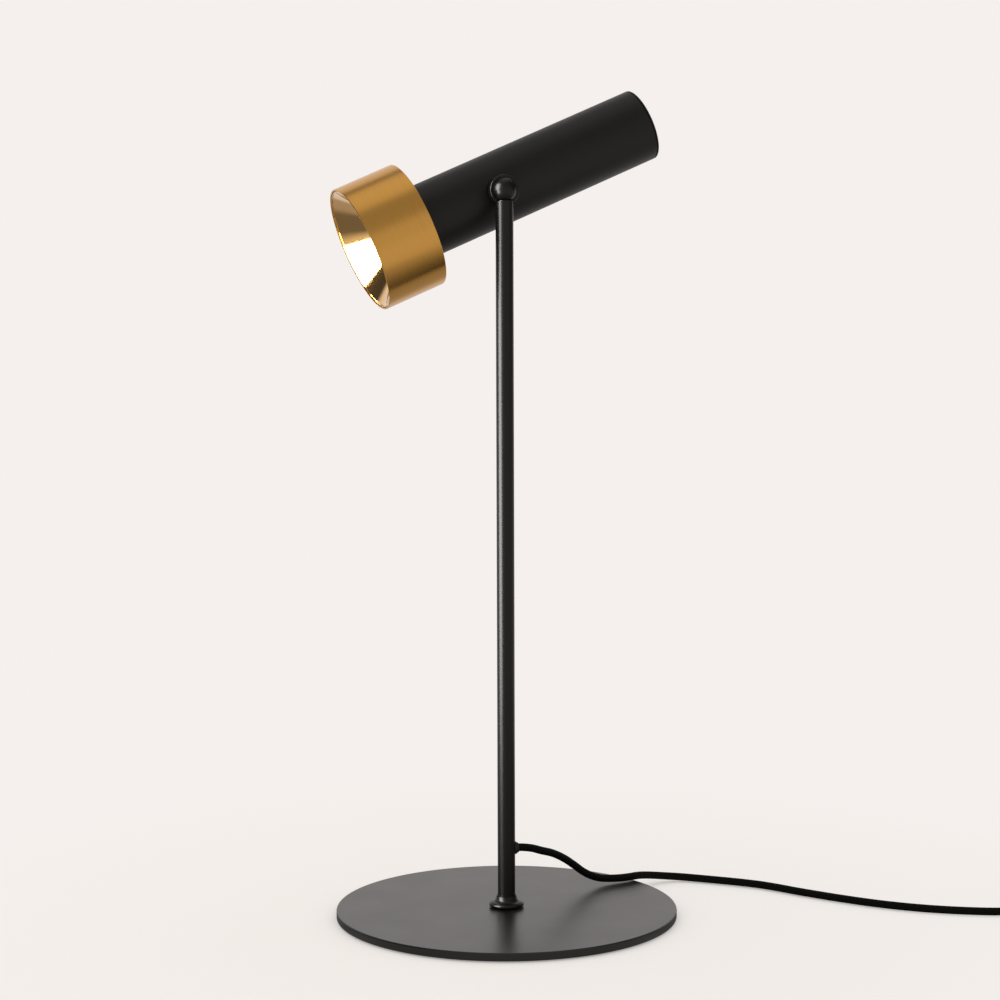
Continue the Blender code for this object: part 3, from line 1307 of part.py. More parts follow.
def main():
    clear_scene()
    looks = {
        "coat": material("black textured coat", BLACK_COAT, 0.55, 0.2),
        "stem": material("black satin coat", STEM_COAT, 0.38, 0.3),
        "brass": material("brushed brass", BRASS, 0.32, 1.0),
        "mirror": material("gold mirror", GOLD_MIRROR, 0.08, 1.0),
        "steel": material("zinc plated steel", STEEL, 0.4, 1.0),
        "aluminium": material("bare aluminium", STEEL, 0.35, 1.0),
        "white": material("white plastic", PLASTIC_WHITE, 0.5),
        "plastic": material("black plastic", PLASTIC_BLACK, 0.45),
        "rubber": material("black rubber", PLASTIC_BLACK, 0.7),
        "felt": material("felt", FELT, 0.95),
        "cord": material("black textile", CORD_BLACK, 0.85),
        "brown": material("brown insulation", WIRE_BROWN, 0.5),
        "blue": material("blue insulation", WIRE_BLUE, 0.5),
        "red": material("red insulation", LEAD_RED, 0.5),
        "black_wire": material("black insulation", PLASTIC_BLACK, 0.5),
        "emitter": material("light emitter", EMITTER_YELLOW, 0.6),
        "frost": material("frosted diffuser", FROST, 0.5),
    }
    pivot = empty("pivot", location=(0, 0, PIVOT_HEIGHT))
    head = empty("tilt_axis", location=(0, 0, PIVOT_HEIGHT), rotation=(0, -HEAD_TILT, 0))
    make_base(looks)
    make_foot_collar(looks)
    make_stem(looks)
    make_grommet(looks)
    make_knuckle(looks, pivot)
    make_pivot_hardware(looks, pivot)
    make_saddles(looks, head)
    make_head_tube(looks, head)
    make_shade(looks, head)
    make_reflector(looks, head)
    make_heat_sink(looks, head)
    make_light(looks, head)
    make_driver(looks, head)
    make_stem_wires(looks)
    make_head_wires(looks, head)
    plug_tip = make_cord(looks)
    make_coil_tie(looks)
    make_switch(looks)
    make_plug(looks, plug_tip)


main()
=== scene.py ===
# %% [markdown]
# # Dressing a table spot lamp
# The lamp is a round steel base, a thin stem and a tube head that tilts on a ball at its side. Its solids
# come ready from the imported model. This lesson gives them finer surfaces and real finishes, and lights them
# like a catalogue picture. Every length is in metres, in the frame of the model: the origin is under the
# middle of the base, Z is up, the lamp shines to -X and the cord leaves to +X.

import math

import bmesh
import bpy
import numpy as np
from mathutils import Matrix, Vector


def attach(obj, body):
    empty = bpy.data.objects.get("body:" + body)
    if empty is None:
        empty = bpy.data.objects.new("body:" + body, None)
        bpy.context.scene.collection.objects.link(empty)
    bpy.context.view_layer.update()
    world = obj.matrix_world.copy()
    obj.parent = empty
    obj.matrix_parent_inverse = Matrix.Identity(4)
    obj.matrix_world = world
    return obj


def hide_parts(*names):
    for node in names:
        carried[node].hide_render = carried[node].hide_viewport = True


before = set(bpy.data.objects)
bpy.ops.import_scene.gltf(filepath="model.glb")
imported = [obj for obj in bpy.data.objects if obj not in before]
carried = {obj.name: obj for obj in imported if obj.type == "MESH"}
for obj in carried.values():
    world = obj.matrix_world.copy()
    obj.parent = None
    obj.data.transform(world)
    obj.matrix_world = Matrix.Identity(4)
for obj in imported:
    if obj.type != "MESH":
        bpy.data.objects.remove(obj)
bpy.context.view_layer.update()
MM = 0.001

# %% [markdown]
# ## Camera
# The camera stood 1.35 m away, a little above the middle of the lamp, with a long lens, so the base is a
# slim ellipse and we look across the shade's mouth rather than into it. A long lens far away and a short one
# near by can frame the same lamp, but only one of them also gets the ellipse of the base and the taper of
# the tube right. The numbers come from fitting those edges.

# %% Place the camera
LENS_PIXELS = 2323.3  # focal length in pixels of a picture 1000 wide
camera_data = bpy.data.cameras.new("portrait camera")
camera_data.sensor_width = 36
camera_data.lens = LENS_PIXELS / 1000 * camera_data.sensor_width
camera = bpy.data.objects.new("portrait camera", camera_data)
camera.matrix_world = (
    Matrix.Translation((-0.4019, -1.2831, 0.3582))
    @ Matrix.Rotation(math.radians(-17.26), 4, "Z")
    @ Matrix.Rotation(math.radians(90 - 4.79), 4, "X")
    @ Matrix.Rotation(math.radians(-0.188), 4, "Z")
)
bpy.context.collection.objects.link(camera)
bpy.context.scene.camera = camera
bpy.context.scene.view_settings.view_transform = "Standard"
print("lens", round(camera_data.lens, 2), "mm")

# %% [markdown]
# ## A surface from a grid
# Almost every part here is turned on a lathe, moulded as a loft, or runs along a line. All three are grids:
# rows of points that go round, joined row to row. A spin in edit mode or a modifier could do the same, but a
# grid of numbers is exact, and it can carry the real lengths of the surface as its UV map, which the brushed
# and woven finishes follow later.

# %% Build a mesh from a grid of points
SHARP = math.radians(34)


def skin(name, grid, loop=False):
    """Vertex (i, j) is grid[i, j] and face (i, j) joins it to its next neighbours in both directions.
    The last column joins the first one, and with loop the last row joins the first one too. A corner's UV is
    the length run round the widest row and the mean length run along the columns, in metres."""
    rows, columns = grid.shape[:2]
    wide = np.concatenate((grid, grid[:, :1]), axis=1)
    wide = np.concatenate((wide, wide[:1]), axis=0) if loop else wide
    round_steps = np.linalg.norm(np.diff(wide, axis=1), axis=2).max(axis=0)
    long_steps = np.linalg.norm(np.diff(wide, axis=0), axis=2).mean(axis=1)
    u = np.concatenate(([0], np.cumsum(round_steps)))
    v = np.concatenate(([0], np.cumsum(long_steps)))
    i, j = np.meshgrid(np.arange(wide.shape[0] - 1), np.arange(columns), indexing="ij")
    i = np.stack((i, i, i + 1, i + 1), axis=-1).reshape(-1, 4)
    j = np.stack((j, j + 1, j + 1, j), axis=-1).reshape(-1, 4)
    mesh = bpy.data.meshes.new(name)
    faces = i % rows * columns + j % columns
    mesh.from_pydata(grid.reshape(-1, 3).tolist(), [], faces.tolist())
    lengths = np.stack((u[j], v[i]), axis=-1).astype(np.float32)
    mesh.uv_layers.new(name="lengths").data.foreach_set("uv", lengths.reshape(-1))
    return tidy(name, mesh)


def tidy(name, mesh):
    """Close seams and poles, point the faces outwards, and shade all but sharp edges smooth."""
    work = bmesh.new()
    work.from_mesh(mesh)
    bmesh.ops.remove_doubles(work, verts=work.verts, dist=1e-6)
    bmesh.ops.dissolve_degenerate(work, edges=work.edges, dist=1e-7)
    bmesh.ops.recalc_face_normals(work, faces=work.faces)
    work.to_mesh(mesh)
    work.free()
    mesh.shade_smooth()
    mesh.set_sharp_from_angle(angle=SHARP)
    piece = bpy.data.objects.new(name, mesh)
    bpy.context.collection.objects.link(piece)
    return piece


def moved(points, matrix):
    """Points of any grid, each multiplied by a 4 by 4 matrix."""
    turn = np.array(matrix)
    return points @ turn[:3, :3].T + turn[:3, 3]


# %% Turn a profile with soft corners
def rounded(corners, steps=7):
    """Corners are (radius, height, fillet). A fillet is an arc about a middle on the corner's bisector, at
    fillet / sin(half the angle), and a point just before and after it keeps the flats beside it flat."""
    table = np.array(corners, dtype=float)
    point, fillet = table[:, :2], table[:, 2:]
    back = np.roll(point, 1, axis=0) - point
    ahead = np.roll(point, -1, axis=0) - point
    back /= np.linalg.norm(back, axis=1, keepdims=True)
    ahead /= np.linalg.norm(ahead, axis=1, keepdims=True)
    half = np.arccos(np.clip((back * ahead).sum(axis=1, keepdims=True), -1, 1)) / 2
    bisector = back + ahead
    bisector /= np.maximum(np.linalg.norm(bisector, axis=1, keepdims=True), 1e-9)
    middle = point + bisector * fillet / np.sin(half)
    reach = fillet / np.tan(half)
    start, end = point + back * reach, point + ahead * reach
    share = np.linspace(0, 1, steps)[None, :, None]
    spoke = (start - middle)[:, None] * (1 - share) + (end - middle)[:, None] * share
    spoke *= fillet[:, None] / np.maximum(np.linalg.norm(spoke, axis=2, keepdims=True), 1e-9)
    arc = middle[:, None] + spoke
    before = (start + back * fillet * 0.12)[:, None]
    after = (end + ahead * fillet * 0.12)[:, None]
    return np.concatenate((before, arc, after), axis=1).reshape(-1, 2)


def turned(name, profile, matrix, sides=144):
    """A closed profile of (radius, height) turned about Z: x = radius cos a, y = radius sin a, z = height."""
    profile = np.asarray(profile, dtype=float)
    angle = np.linspace(0, 2 * math.pi, sides, endpoint=False)
    radius, height = profile[:, :1], profile[:, 1:]
    grid = np.stack(
        (radius * np.cos(angle), radius * np.sin(angle), height + 0 * angle),
        axis=-1,
    )
    return skin(name, moved(grid, matrix), loop=True)


def carve(piece, tool, operation="DIFFERENCE"):
    """Cut tool out of piece, or fuse them, for good."""
    step = piece.modifiers.new("carve", "BOOLEAN")
    step.operation = operation
    step.solver = "EXACT"
    step.object = tool
    seen = piece.evaluated_get(bpy.context.evaluated_depsgraph_get())
    mesh = bpy.data.meshes.new_from_object(seen)
    piece.modifiers.clear()
    piece.data = mesh
    mesh.set_sharp_from_angle(angle=SHARP)
    bpy.data.objects.remove(tool)
    return piece


print("grid, profile and carving tools ready")

# %% [markdown]
# ## Colours and nodes
# A hex colour is written as the eye sees it, but the renderer adds up light, so one function turns it to
# linear numbers. One more function adds a node with its settings and links. It keeps each finish short
# enough to read as a recipe.

# %% Colour and node helpers
def linear(code, alpha=1.0):
    """'#rrggbb' as linear numbers: c / 12.92 below 0.04045, otherwise ((c + 0.055) / 1.055) to the 2.4."""
    shares = [int(code[k : k + 2], 16) / 255 for k in (1, 3, 5)]
    return (*[c / 12.92 if c <= 0.04045 else ((c + 0.055) / 1.055) ** 2.4 for c in shares], alpha)


def add(tree, kind, settings=(), **links):
    """Add a node, set its properties (by name) or sockets (by number), and link its inputs: i0=socket."""
    node = tree.nodes.new(kind)
    for key, value in dict(settings).items():
        if isinstance(key, int) or key in node.inputs.keys():
            node.inputs[key].default_value = value
        else:
            setattr(node, key, value)
    for key, socket in links.items():
        slot = int(key[1:]) if key[1:].isdigit() else key.replace("_", " ")
        tree.links.new(socket, node.inputs[slot])
    return node


def finish(name, colour, roughness, **constants):
    """A material with one Principled shader. Returns the material, its tree and the shader."""
    made = bpy.data.materials.new(name)
    made.use_nodes = True
    tree = made.node_tree
    shader = tree.nodes["Principled BSDF"]
    shader.inputs["Base Color"].default_value = linear(colour)
    shader.inputs["Roughness"].default_value = roughness
    for key, value in constants.items():
        shader.inputs[key.replace("_", " ")].default_value = value
    return made, tree, shader


def coordinates(tree, scale=(1, 1, 1), by_uv=False):
    """Object or UV coordinates in metres, multiplied by a scale in patterns a metre."""
    source = add(tree, "ShaderNodeTexCoord")
    socket = source.outputs["UV" if by_uv else "Object"]
    return add(tree, "ShaderNodeMapping", {"Scale": scale}, Vector=socket).outputs[0]


def spread(tree, shader, field, low, high, to="Roughness"):
    """Send a 0..1 field to a number of the shader, from low to high."""
    ramp = add(tree, "ShaderNodeMapRange", {"To Min": low, "To Max": high}, Value=field)
    tree.links.new(ramp.outputs[0], shader.inputs[to])


def tint(tree, shader, field, low, high):
    """Mix two near colours by a 0..1 field."""
    mix = add(tree, "ShaderNodeMix", {"data_type": "RGBA", 6: linear(low), 7: linear(high)}, i0=field)
    tree.links.new(mix.outputs[2], shader.inputs["Base Color"])


def emboss(tree, shader, field, depth, strength=1.0):
    """Bump of a real depth in metres."""
    bump = add(tree, "ShaderNodeBump", {"Distance": depth, "Strength": strength}, Height=field)
    tree.links.new(bump.outputs[0], shader.inputs["Normal"])


# %% [markdown]
# ## Black coats
# The base and the tube wear a powder coat: plastic powder baked on metal, matt, with a grit of about 0.3 mm
# that only shows close up. The stem and ball are sprayed with a satin enamel, smoother and a little warmer,
# so a lamp at the side draws a clear line down them. Both are nearly black. What we see of them is mostly
# reflected light, so roughness matters more than colour.

# %% Powder coat and satin enamel
def powder_coat(name, low, high, roughness, gloss):
    """Epoxy powder coat: grit noise at 0.35 mm for the bump, clouds of 30 mm for its roughness. It gives the
    eye an even matt black that turns grey where it mirrors the backdrop at a low angle."""
    made, tree, shader = finish(name, low, roughness, Specular_IOR_Level=gloss)
    where = coordinates(tree)
    grit = add(tree, "ShaderNodeTexNoise", {"Scale": 1 / (0.35 * MM), "Detail": 2}, Vector=where)
    cloud = add(tree, "ShaderNodeTexNoise", {"Scale": 1 / (30 * MM), "Detail": 3}, Vector=where)
    tint(tree, shader, cloud.outputs[0], low, high)
    spread(tree, shader, cloud.outputs[0], roughness - 0.04, roughness + 0.04)
    emboss(tree, shader, grit.outputs[0], 0.02 * MM, 0.5)
    return made


def enamel(name, low, high, roughness):
    """Sprayed satin enamel: a faint orange peel with humps of 1.5 mm, which makes the line of light on the
    stem waver a little."""
    made, tree, shader = finish(name, low, roughness, Specular_IOR_Level=0.2)
    where = coordinates(tree)
    peel = add(tree, "ShaderNodeTexNoise", {"Scale": 1 / (1.5 * MM), "Detail": 1}, Vector=where)
    tint(tree, shader, peel.outputs[0], low, high)
    emboss(tree, shader, peel.outputs[0], 0.01 * MM, 0.6)
    return made


BASE_COAT = powder_coat("powder coat on steel", "#0f0f0e", "#131312", 0.32, 0.5)
TUBE_COAT = powder_coat("powder coat on aluminium tube", "#0f0f0e", "#131311", 0.46, 0.25)
STEM_ENAMEL = enamel("satin enamel on steel", "#11100e", "#151411", 0.30)
print("coats:", BASE_COAT.name, "/", TUBE_COAT.name, "/", STEM_ENAMEL.name)

# %% [markdown]
# ## Brass, mirror and zinc
# The shade ring is brass, brushed while it turned, so hair-fine lines run round it and blur what it reflects.
# Its lacquer keeps it the colour of honey. The cone inside is polished and anodised gold, almost a clean
# mirror. The screws and the hidden nuts are zinc plated, grey and slightly blotched.

# %% Metals
def brushed_brass(name):
    """Brushed brass: noise stretched along U, which runs round the ring, in lines 0.25 mm apart. They draw
    a highlight out into a broad soft band across the lines."""
    brushed = {"Metallic": 1.0, "Anisotropic": 0.5, "Anisotropic_Rotation": 0.25}
    made, tree, shader = finish(name, "#cf9b4c", 0.28, **brushed)
    along = add(tree, "ShaderNodeTangent", {"direction_type": "UV_MAP", "uv_map": "lengths"})
    tree.links.new(along.outputs[0], shader.inputs["Tangent"])
    lines = add(
        tree,
        "ShaderNodeTexNoise",
        {"Scale": 1.0, "Detail": 3},
        Vector=coordinates(tree, (1 / (28 * MM), 1 / (0.25 * MM), 1), by_uv=True),
    )
    tint(tree, shader, lines.outputs[0], "#c38d40", "#d8a658")
    spread(tree, shader, lines.outputs[0], 0.25, 0.31)
    emboss(tree, shader, lines.outputs[0], 0.006 * MM, 0.5)
    return made


def polished_gold(name):
    """Polished anodised aluminium: a mirror with a faint haze in clouds of 14 mm, under a clear hard film.
    The film's index is that of alumina, so seen aslant it mirrors before light reaches the gold dye."""
    film = {"Coat_Weight": 1.0, "Coat_IOR": 1.77, "Coat_Roughness": 0.05}
    made, tree, shader = finish(name, "#e0ad5a", 0.08, Metallic=1.0, **film)
    where = coordinates(tree)
    haze = add(tree, "ShaderNodeTexNoise", {"Scale": 1 / (14 * MM), "Detail": 3}, Vector=where)
    spread(tree, shader, haze.outputs[0], 0.05, 0.11)
    tint(tree, shader, haze.outputs[0], "#dca650", "#e4b464")
    return made


def zinc_plate(name, low, high, roughness):
    """Plated or bare grey metal: blotches of 3 mm that change its grey and its roughness, so it looks cold
    and a little cloudy."""
    made, tree, shader = finish(name, low, roughness, Metallic=1.0)
    where = coordinates(tree)
    blotch = add(tree, "ShaderNodeTexNoise", {"Scale": 1 / (3 * MM), "Detail": 4}, Vector=where)
    tint(tree, shader, blotch.outputs[0], low, high)
    spread(tree, shader, blotch.outputs[0], roughness - 0.08, roughness + 0.08)
    return made


BRASS = brushed_brass("brushed lacquered brass")
MIRROR = polished_gold("polished gold anodised aluminium")
ZINC = zinc_plate("zinc plated steel", "#a6a8a9", "#bfc1c1", 0.38)
ALUMINIUM = zinc_plate("bare cast aluminium", "#b4b5b7", "#c6c7c8", 0.45)
NICKEL = zinc_plate("nickel plated brass", "#c9c3b4", "#d6d0c2", 0.25)
print("metals:", BRASS.name, "/", MIRROR.name, "/", ZINC.name)

# %% [markdown]
# ## Plastics, rubber, felt and the woven cord
# The switch and plug are moulded in tools with a spark-eroded grain of about 0.4 mm. Rubber is duller and
# has no grain. Felt is a mat of fibres. The cord has a plaited black textile cover: strands cross in
# diamonds, eight each way round a girth of 14.5 mm. The plait follows the cord, so it reads the UV map, in
# which U runs round the cord and V along it, both in metres.

# %% Plastics, rubber and felt
def moulded(name, low, high, roughness, grain=0.4 * MM, depth=0.02 * MM):
    """Moulded plastic: spark-eroded grain as bump, and two near shades in clouds of 20 grains. The grain
    breaks every highlight into a soft sheen."""
    made, tree, shader = finish(name, low, roughness)
    where = coordinates(tree)
    eroded = add(tree, "ShaderNodeTexNoise", {"Scale": 1 / grain, "Detail": 2}, Vector=where)
    cloud = add(tree, "ShaderNodeTexNoise", {"Scale": 1 / (20 * grain)}, Vector=where)
    tint(tree, shader, cloud.outputs[0], low, high)
    spread(tree, shader, cloud.outputs[0], roughness - 0.03, roughness + 0.05)
    emboss(tree, shader, eroded.outputs[0], depth, 0.6)
    return made


def felt(name):
    """Pressed felt: fibres as noise of 0.6 mm stretched every way by a coarser noise, without any shine."""
    made, tree, shader = finish(name, "#1c1c1c", 0.95, Specular_IOR_Level=0.2)
    fibre = add(
        tree,
        "ShaderNodeTexNoise",
        {"Scale": 1 / (0.6 * MM), "Detail": 6, "Distortion": 1.5},
        Vector=coordinates(tree),
    )
    tint(tree, shader, fibre.outputs[0], "#121212", "#303030")
    emboss(tree, shader, fibre.outputs[0], 0.25 * MM)
    return made


BLACK_PLASTIC = moulded("moulded black polyamide", "#131313", "#191918", 0.50)
BLACK_RUBBER = moulded("black rubber", "#121211", "#171716", 0.72, grain=1.2 * MM, depth=0.01 * MM)
WHITE_PLASTIC = moulded("moulded white polycarbonate", "#dedfda", "#e8e8e3", 0.42)
BROWN_WIRE = moulded("brown wire insulation", "#54301a", "#5c3820", 0.45)
BLUE_WIRE = moulded("blue wire insulation", "#1f4099", "#2848a4", 0.45)
RED_WIRE = moulded("red wire insulation", "#a51a14", "#b0221a", 0.45)
FELT = felt("pressed black felt")
print("plastics, rubber and felt ready")

# %% Plaited textile
CORD_RADIUS = 2.3 * MM
STRANDS = 8
STRAND_WIDTH = 2 * math.pi * CORD_RADIUS / STRANDS
PLAIT_PITCH = 2.2 * MM


def plaited(name):
    """Plaited textile. With a = u / width + v / pitch and b = u / width - v / pitch, one set of strands
    rises as |sin(pi a)| and the other as |sin(pi b)|, and the sign of sin(pi a) sin(pi b) swaps which is on
    top."""
    made, tree, shader = finish(name, "#080807", 0.85, Specular_IOR_Level=0.12)
    scale = (1 / STRAND_WIDTH, 1 / PLAIT_PITCH, 1)
    uv = add(tree, "ShaderNodeSeparateXYZ", Vector=coordinates(tree, scale, by_uv=True))

    def result_of(operation, first, second=None):
        """One Math node on a socket and a socket, a number or nothing."""
        node = add(tree, "ShaderNodeMath", {"operation": operation}, i0=first)
        if isinstance(second, float):
            node.inputs[1].default_value = second
        elif second is not None:
            tree.links.new(second, node.inputs[1])
        return node.outputs[0]

    rises = []
    for way in ("ADD", "SUBTRACT"):
        phase = result_of(way, uv.outputs[0], uv.outputs[1])
        rises.append(result_of("SINE", result_of("MULTIPLY", phase, math.pi)))
    over = result_of("GREATER_THAN", result_of("MULTIPLY", *rises), 0.0)
    first, second = (result_of("ABSOLUTE", rise) for rise in rises)
    mix = add(tree, "ShaderNodeMix", {"data_type": "FLOAT"}, i0=over, i2=first, i3=second)
    fuzz = add(tree, "ShaderNodeTexNoise", {"Scale": 1 / (0.25 * MM), "Detail": 3}, Vector=coordinates(tree))
    height = result_of("ADD", mix.outputs[0], result_of("MULTIPLY", fuzz.outputs[0], 0.4))
    # Painted shade: the colour follows the plait's height, so the hollows between strands, and the places
    # where one strand dips under another, are painted darker.
    tint(tree, shader, result_of("MULTIPLY", height, 0.7), "#020202", "#0d0d0c")
    emboss(tree, shader, height, 0.12 * MM, 0.8)
    return made


TEXTILE = plaited("plaited black textile")
print("plait:", STRANDS, "strands of", round(STRAND_WIDTH / MM, 2), "mm each way")

# %% [markdown]
# ## The cord
# A lamp like this has about 1.8 m of cord. It leaves a bush in the stem straight to the side, sags on to the
# base, drops off its rim and wanders over the table. The unseen rest passes a hand switch and is wound into
# a tied coil beside the plug, outside the picture. The given points are joined by a Catmull-Rom curve,
# which passes through each of them, and the coil is a formula: a spiral that runs in and out in turn and
# climbs one cord where it turns back.

# %% Points of the cord
TO_SWITCH = [
    (3.6, 0.0, 40.0), (8.5, 0.0, 40.0), (15.6, 0.3, 38.9), (22.6, 2.4, 36.4),
    (29.4, 6.8, 33.8), (36.2, 12.4, 30.3), (43.2, 18.2, 25.9), (50.0, 22.6, 20.9),
    (56.2, 25.6, 16.1), (62.6, 28.2, 12.3), (69.5, 30.2, 9.7), (76.5, 31.5, 8.6),
    (83.2, 32.2, 8.2), (90.0, 33.8, 8.0), (95.0, 36.0, 7.8), (100.5, 39.0, 7.0),
    (107.5, 42.4, 5.6), (117.0, 44.8, 3.9), (127.3, 43.4, 2.8), (138.0, 36.6, 2.5),
    (148.0, 28.5, 2.5), (158.0, 19.9, 2.5), (167.2, 10.6, 2.5), (175.4, -0.6, 2.5),
    (183.2, -12.6, 2.5), (199.4, -34.4, 2.5), (216.2, -53.6, 2.5), (234.4, -69.4, 2.5),
    (254.0, -81.8, 2.5), (274.5, -91.1, 2.6), (286.0, -95.5, 4.0), (294.5, -98.7, 6.8),
]
TO_COIL = [(384.5, -127.4, 5.4), (396.0, -117.5, 3.6), (402.5, -104.0, 3.5)]
CORD_WIDTH = 2 * CORD_RADIUS
SWITCH_MIDDLE = np.array((336, -114.3, 9)) * MM
SWITCH_HEADING = math.radians(-20.5)
SWITCH_HALF = 31 * MM
NOSE = 5 * MM
GAP = 0.3 * MM
COIL_MIDDLE = np.array((374, -72, 0)) * MM
COIL_INNER = 20 * MM
COIL_LAYERS = 4
LAYER_TURNS = 2
COIL_PITCH = CORD_WIDTH + 0.5 * MM
COIL_OUTER = COIL_INNER + LAYER_TURNS * COIL_PITCH
COIL_BOTTOM = 1.2 * MM + CORD_RADIUS
PLUG_HEIGHT = 13.7 * MM
TAIL = 42 * MM


def through(points, spacing):
    """Straight at both ends, and between them even steps on the Catmull-Rom curve
    (2p1 + (p2 - p0)t + (2p0 - 5p1 + 4p2 - p3)t^2 + (3p1 - p0 - 3p2 + p3)t^3) / 2."""
    t = np.linspace(0, 1, 24, endpoint=False)[None, :, None]
    before, start, end, after = (points[k : len(points) - 3 + k, None] for k in range(4))
    curve = (
        2 * start
        + (end - before) * t
        + (2 * before - 5 * start + 4 * end - after) * t**2
        + (3 * start - before - 3 * end + after) * t**3
    ) / 2
    dense = np.concatenate((points[:1], curve.reshape(-1, 3), points[-2:]))
    along = np.concatenate(([0], np.cumsum(np.linalg.norm(np.diff(dense, axis=0), axis=1))))
    wanted = np.linspace(0, along[-1], int(round(along[-1] / spacing)) + 1)
    return np.stack([np.interp(wanted, along, dense[:, k]) for k in range(3)], axis=1)


def coil(steps_a_turn):
    """Radius runs from outer to inner and back as layers pass, and height rises by a smooth step,
    share^2 (3 - 2 share), over the half turn in which a layer turns back."""
    turns = np.arange(COIL_LAYERS * LAYER_TURNS * steps_a_turn + 1) / steps_a_turn
    layers = turns / LAYER_TURNS
    inward = 1 - np.abs(1 - layers % 2)
    radius = COIL_OUTER - (COIL_OUTER - COIL_INNER) * inward
    climbs = np.arange(1, COIL_LAYERS)[:, None]
    share = np.clip((layers - climbs) * LAYER_TURNS / 0.5 + 0.5, 0, 1)
    height = COIL_BOTTOM + COIL_PITCH * (share**2 * (3 - 2 * share)).sum(axis=0)
    angle = 2 * math.pi * turns
    return COIL_MIDDLE + np.stack((radius * np.cos(angle), radius * np.sin(angle), height), axis=1)


heading = np.array((math.cos(SWITCH_HEADING), math.sin(SWITCH_HEADING), 0))
reach = SWITCH_HALF + NOSE + GAP
ahead = np.array((0, 1, 0))
wound = coil(96)
coil_start = wound[0] - ahead * (CORD_WIDTH + GAP)
coil_end = wound[-1] + ahead * (CORD_WIDTH + GAP)
drop = np.array((0, 0, wound[-1][2] - PLUG_HEIGHT / 2))
STEP = 1.6 * MM
into_switch = [SWITCH_MIDDLE - heading * (reach + CORD_WIDTH), SWITCH_MIDDLE - heading * reach]
out_of_switch = [SWITCH_MIDDLE + heading * reach, SWITCH_MIDDLE + heading * (reach + CORD_WIDTH)]
into_coil = [coil_start - ahead * (CORD_WIDTH - GAP), coil_start]
to_plug = [
    coil_end,
    coil_end + ahead * CORD_WIDTH,
    coil_end + ahead * TAIL / 2 - drop / 2,
    coil_end + ahead * (TAIL - CORD_WIDTH) - drop,
    coil_end + ahead * TAIL - drop,
]
first_run = through(np.vstack((np.array(TO_SWITCH) * MM, into_switch)), STEP)
second_run = through(np.vstack((out_of_switch, np.array(TO_COIL) * MM, into_coil)), STEP)
last_run = through(np.array(to_plug), STEP)
cord_line = np.concatenate((first_run, second_run, wound, last_run))

# %% Sweep the cord's round section along its line
def swept(name, line, radius, sides=18):
    """At each point the section is centre + radius (n cos a + b sin a), where n is Z made square to the
    line's direction and b completes the corner, and the two ends close to a point. The line is never
    upright."""
    way = np.gradient(line, axis=0)
    way /= np.linalg.norm(way, axis=1, keepdims=True)
    up = np.array((0, 0, 1.0))
    normal = up - (way @ up)[:, None] * way
    normal /= np.linalg.norm(normal, axis=1, keepdims=True)
    side = np.cross(way, normal)
    angle = np.linspace(0, 2 * math.pi, sides, endpoint=False)[None, :, None]
    grid = line[:, None] + radius * (normal[:, None] * np.cos(angle) + side[:, None] * np.sin(angle))
    first = np.repeat(line[:1, None], sides, axis=1)
    last = np.repeat(line[-1:, None], sides, axis=1)
    return skin(name, np.concatenate((first, grid, last)))


cord = swept("mains_cord", cord_line, CORD_RADIUS)
cord.data.materials.append(TEXTILE)
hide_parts("cord_to_switch", "cord_to_coil", "cord_coil", "cord_tail")
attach(cord, "stand")
print("cord faces", len(cord.data.polygons))

# %% [markdown]
# ## Places on the lamp
# A finished piece keeps its object at the origin and has its place in its mesh, so each turned part needs
# a matrix that carries it from the lathe to the lamp. The head leans 23.4 degrees about the pivot, its axis
# is 30 mm beside the stem, and lengths along it run forward from the pivot.

# %% Matrices for the stem, the pivot and the tube
PIVOT_HEIGHT = 424.3 * MM
TUBE_OFFSET = 30 * MM
UPRIGHT = Matrix.Identity(4)
PIVOT = Matrix.Translation((0, 0, PIVOT_HEIGHT)) @ Matrix.Rotation(math.radians(-90), 4, "X")
HEAD = Matrix.Translation((0, 0, PIVOT_HEIGHT)) @ Matrix.Rotation(math.radians(-23.4), 4, "Y")
TUBE = HEAD @ Matrix.Translation((0, TUBE_OFFSET, 0)) @ Matrix.Rotation(math.radians(-90), 4, "Y")


def place(piece, look, slot, body, *stands_for):
    """Dress a piece, make it ride on its body and hide the solids it stands for."""
    piece.data.materials.clear()
    piece.data.materials.append(look)
    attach(piece, body)
    if stands_for:
        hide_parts(*stands_for)
    return piece


def corners(*rows):
    """Rows of (radius, height, fillet) in millimetres, as metres."""
    return np.array(rows, dtype=float) * MM


print("mouth points to", [round(v, 3) for v in (TUBE.to_3x3() @ Vector((0, 0, 1)))])

# %% [markdown]
# ## Base, felt and foot collar
# The base is a plate laser-cut from 5 mm steel, its edge broken to 0.7 mm, which draws a thin bright line
# round the top. The felt under it is set in a recess, so only its edge shows. The collar is turned: a bead,
# a groove and a hollow flare that thins out at the stem.

# %% Base
BASE_RADIUS, BASE_TOP, BASE_BOTTOM, BASE_EDGE = 100, 5.3, 0.5, 0.7
PAD_RECESS, PAD_ROOF = 97.3, 1.5
SCREW_HOLE, SCREW_SINK, SINK_TOP = 3.3, 5.9, 4.4
base_rows = corners(
    (SCREW_HOLE, SINK_TOP, 0),
    (SCREW_HOLE, BASE_TOP, 0),
    (BASE_RADIUS, BASE_TOP, BASE_EDGE),
    (BASE_RADIUS, BASE_BOTTOM, BASE_EDGE),
    (PAD_RECESS, BASE_BOTTOM, 0),
    (PAD_RECESS, PAD_ROOF, 0),
    (SCREW_SINK, PAD_ROOF, 0),
)
base = turned("plate_of_base", rounded(base_rows), UPRIGHT, sides=240)
place(base, BASE_COAT, "coat", "stand", "base_plate")
print("base faces", len(base.data.polygons))

# %% Collar

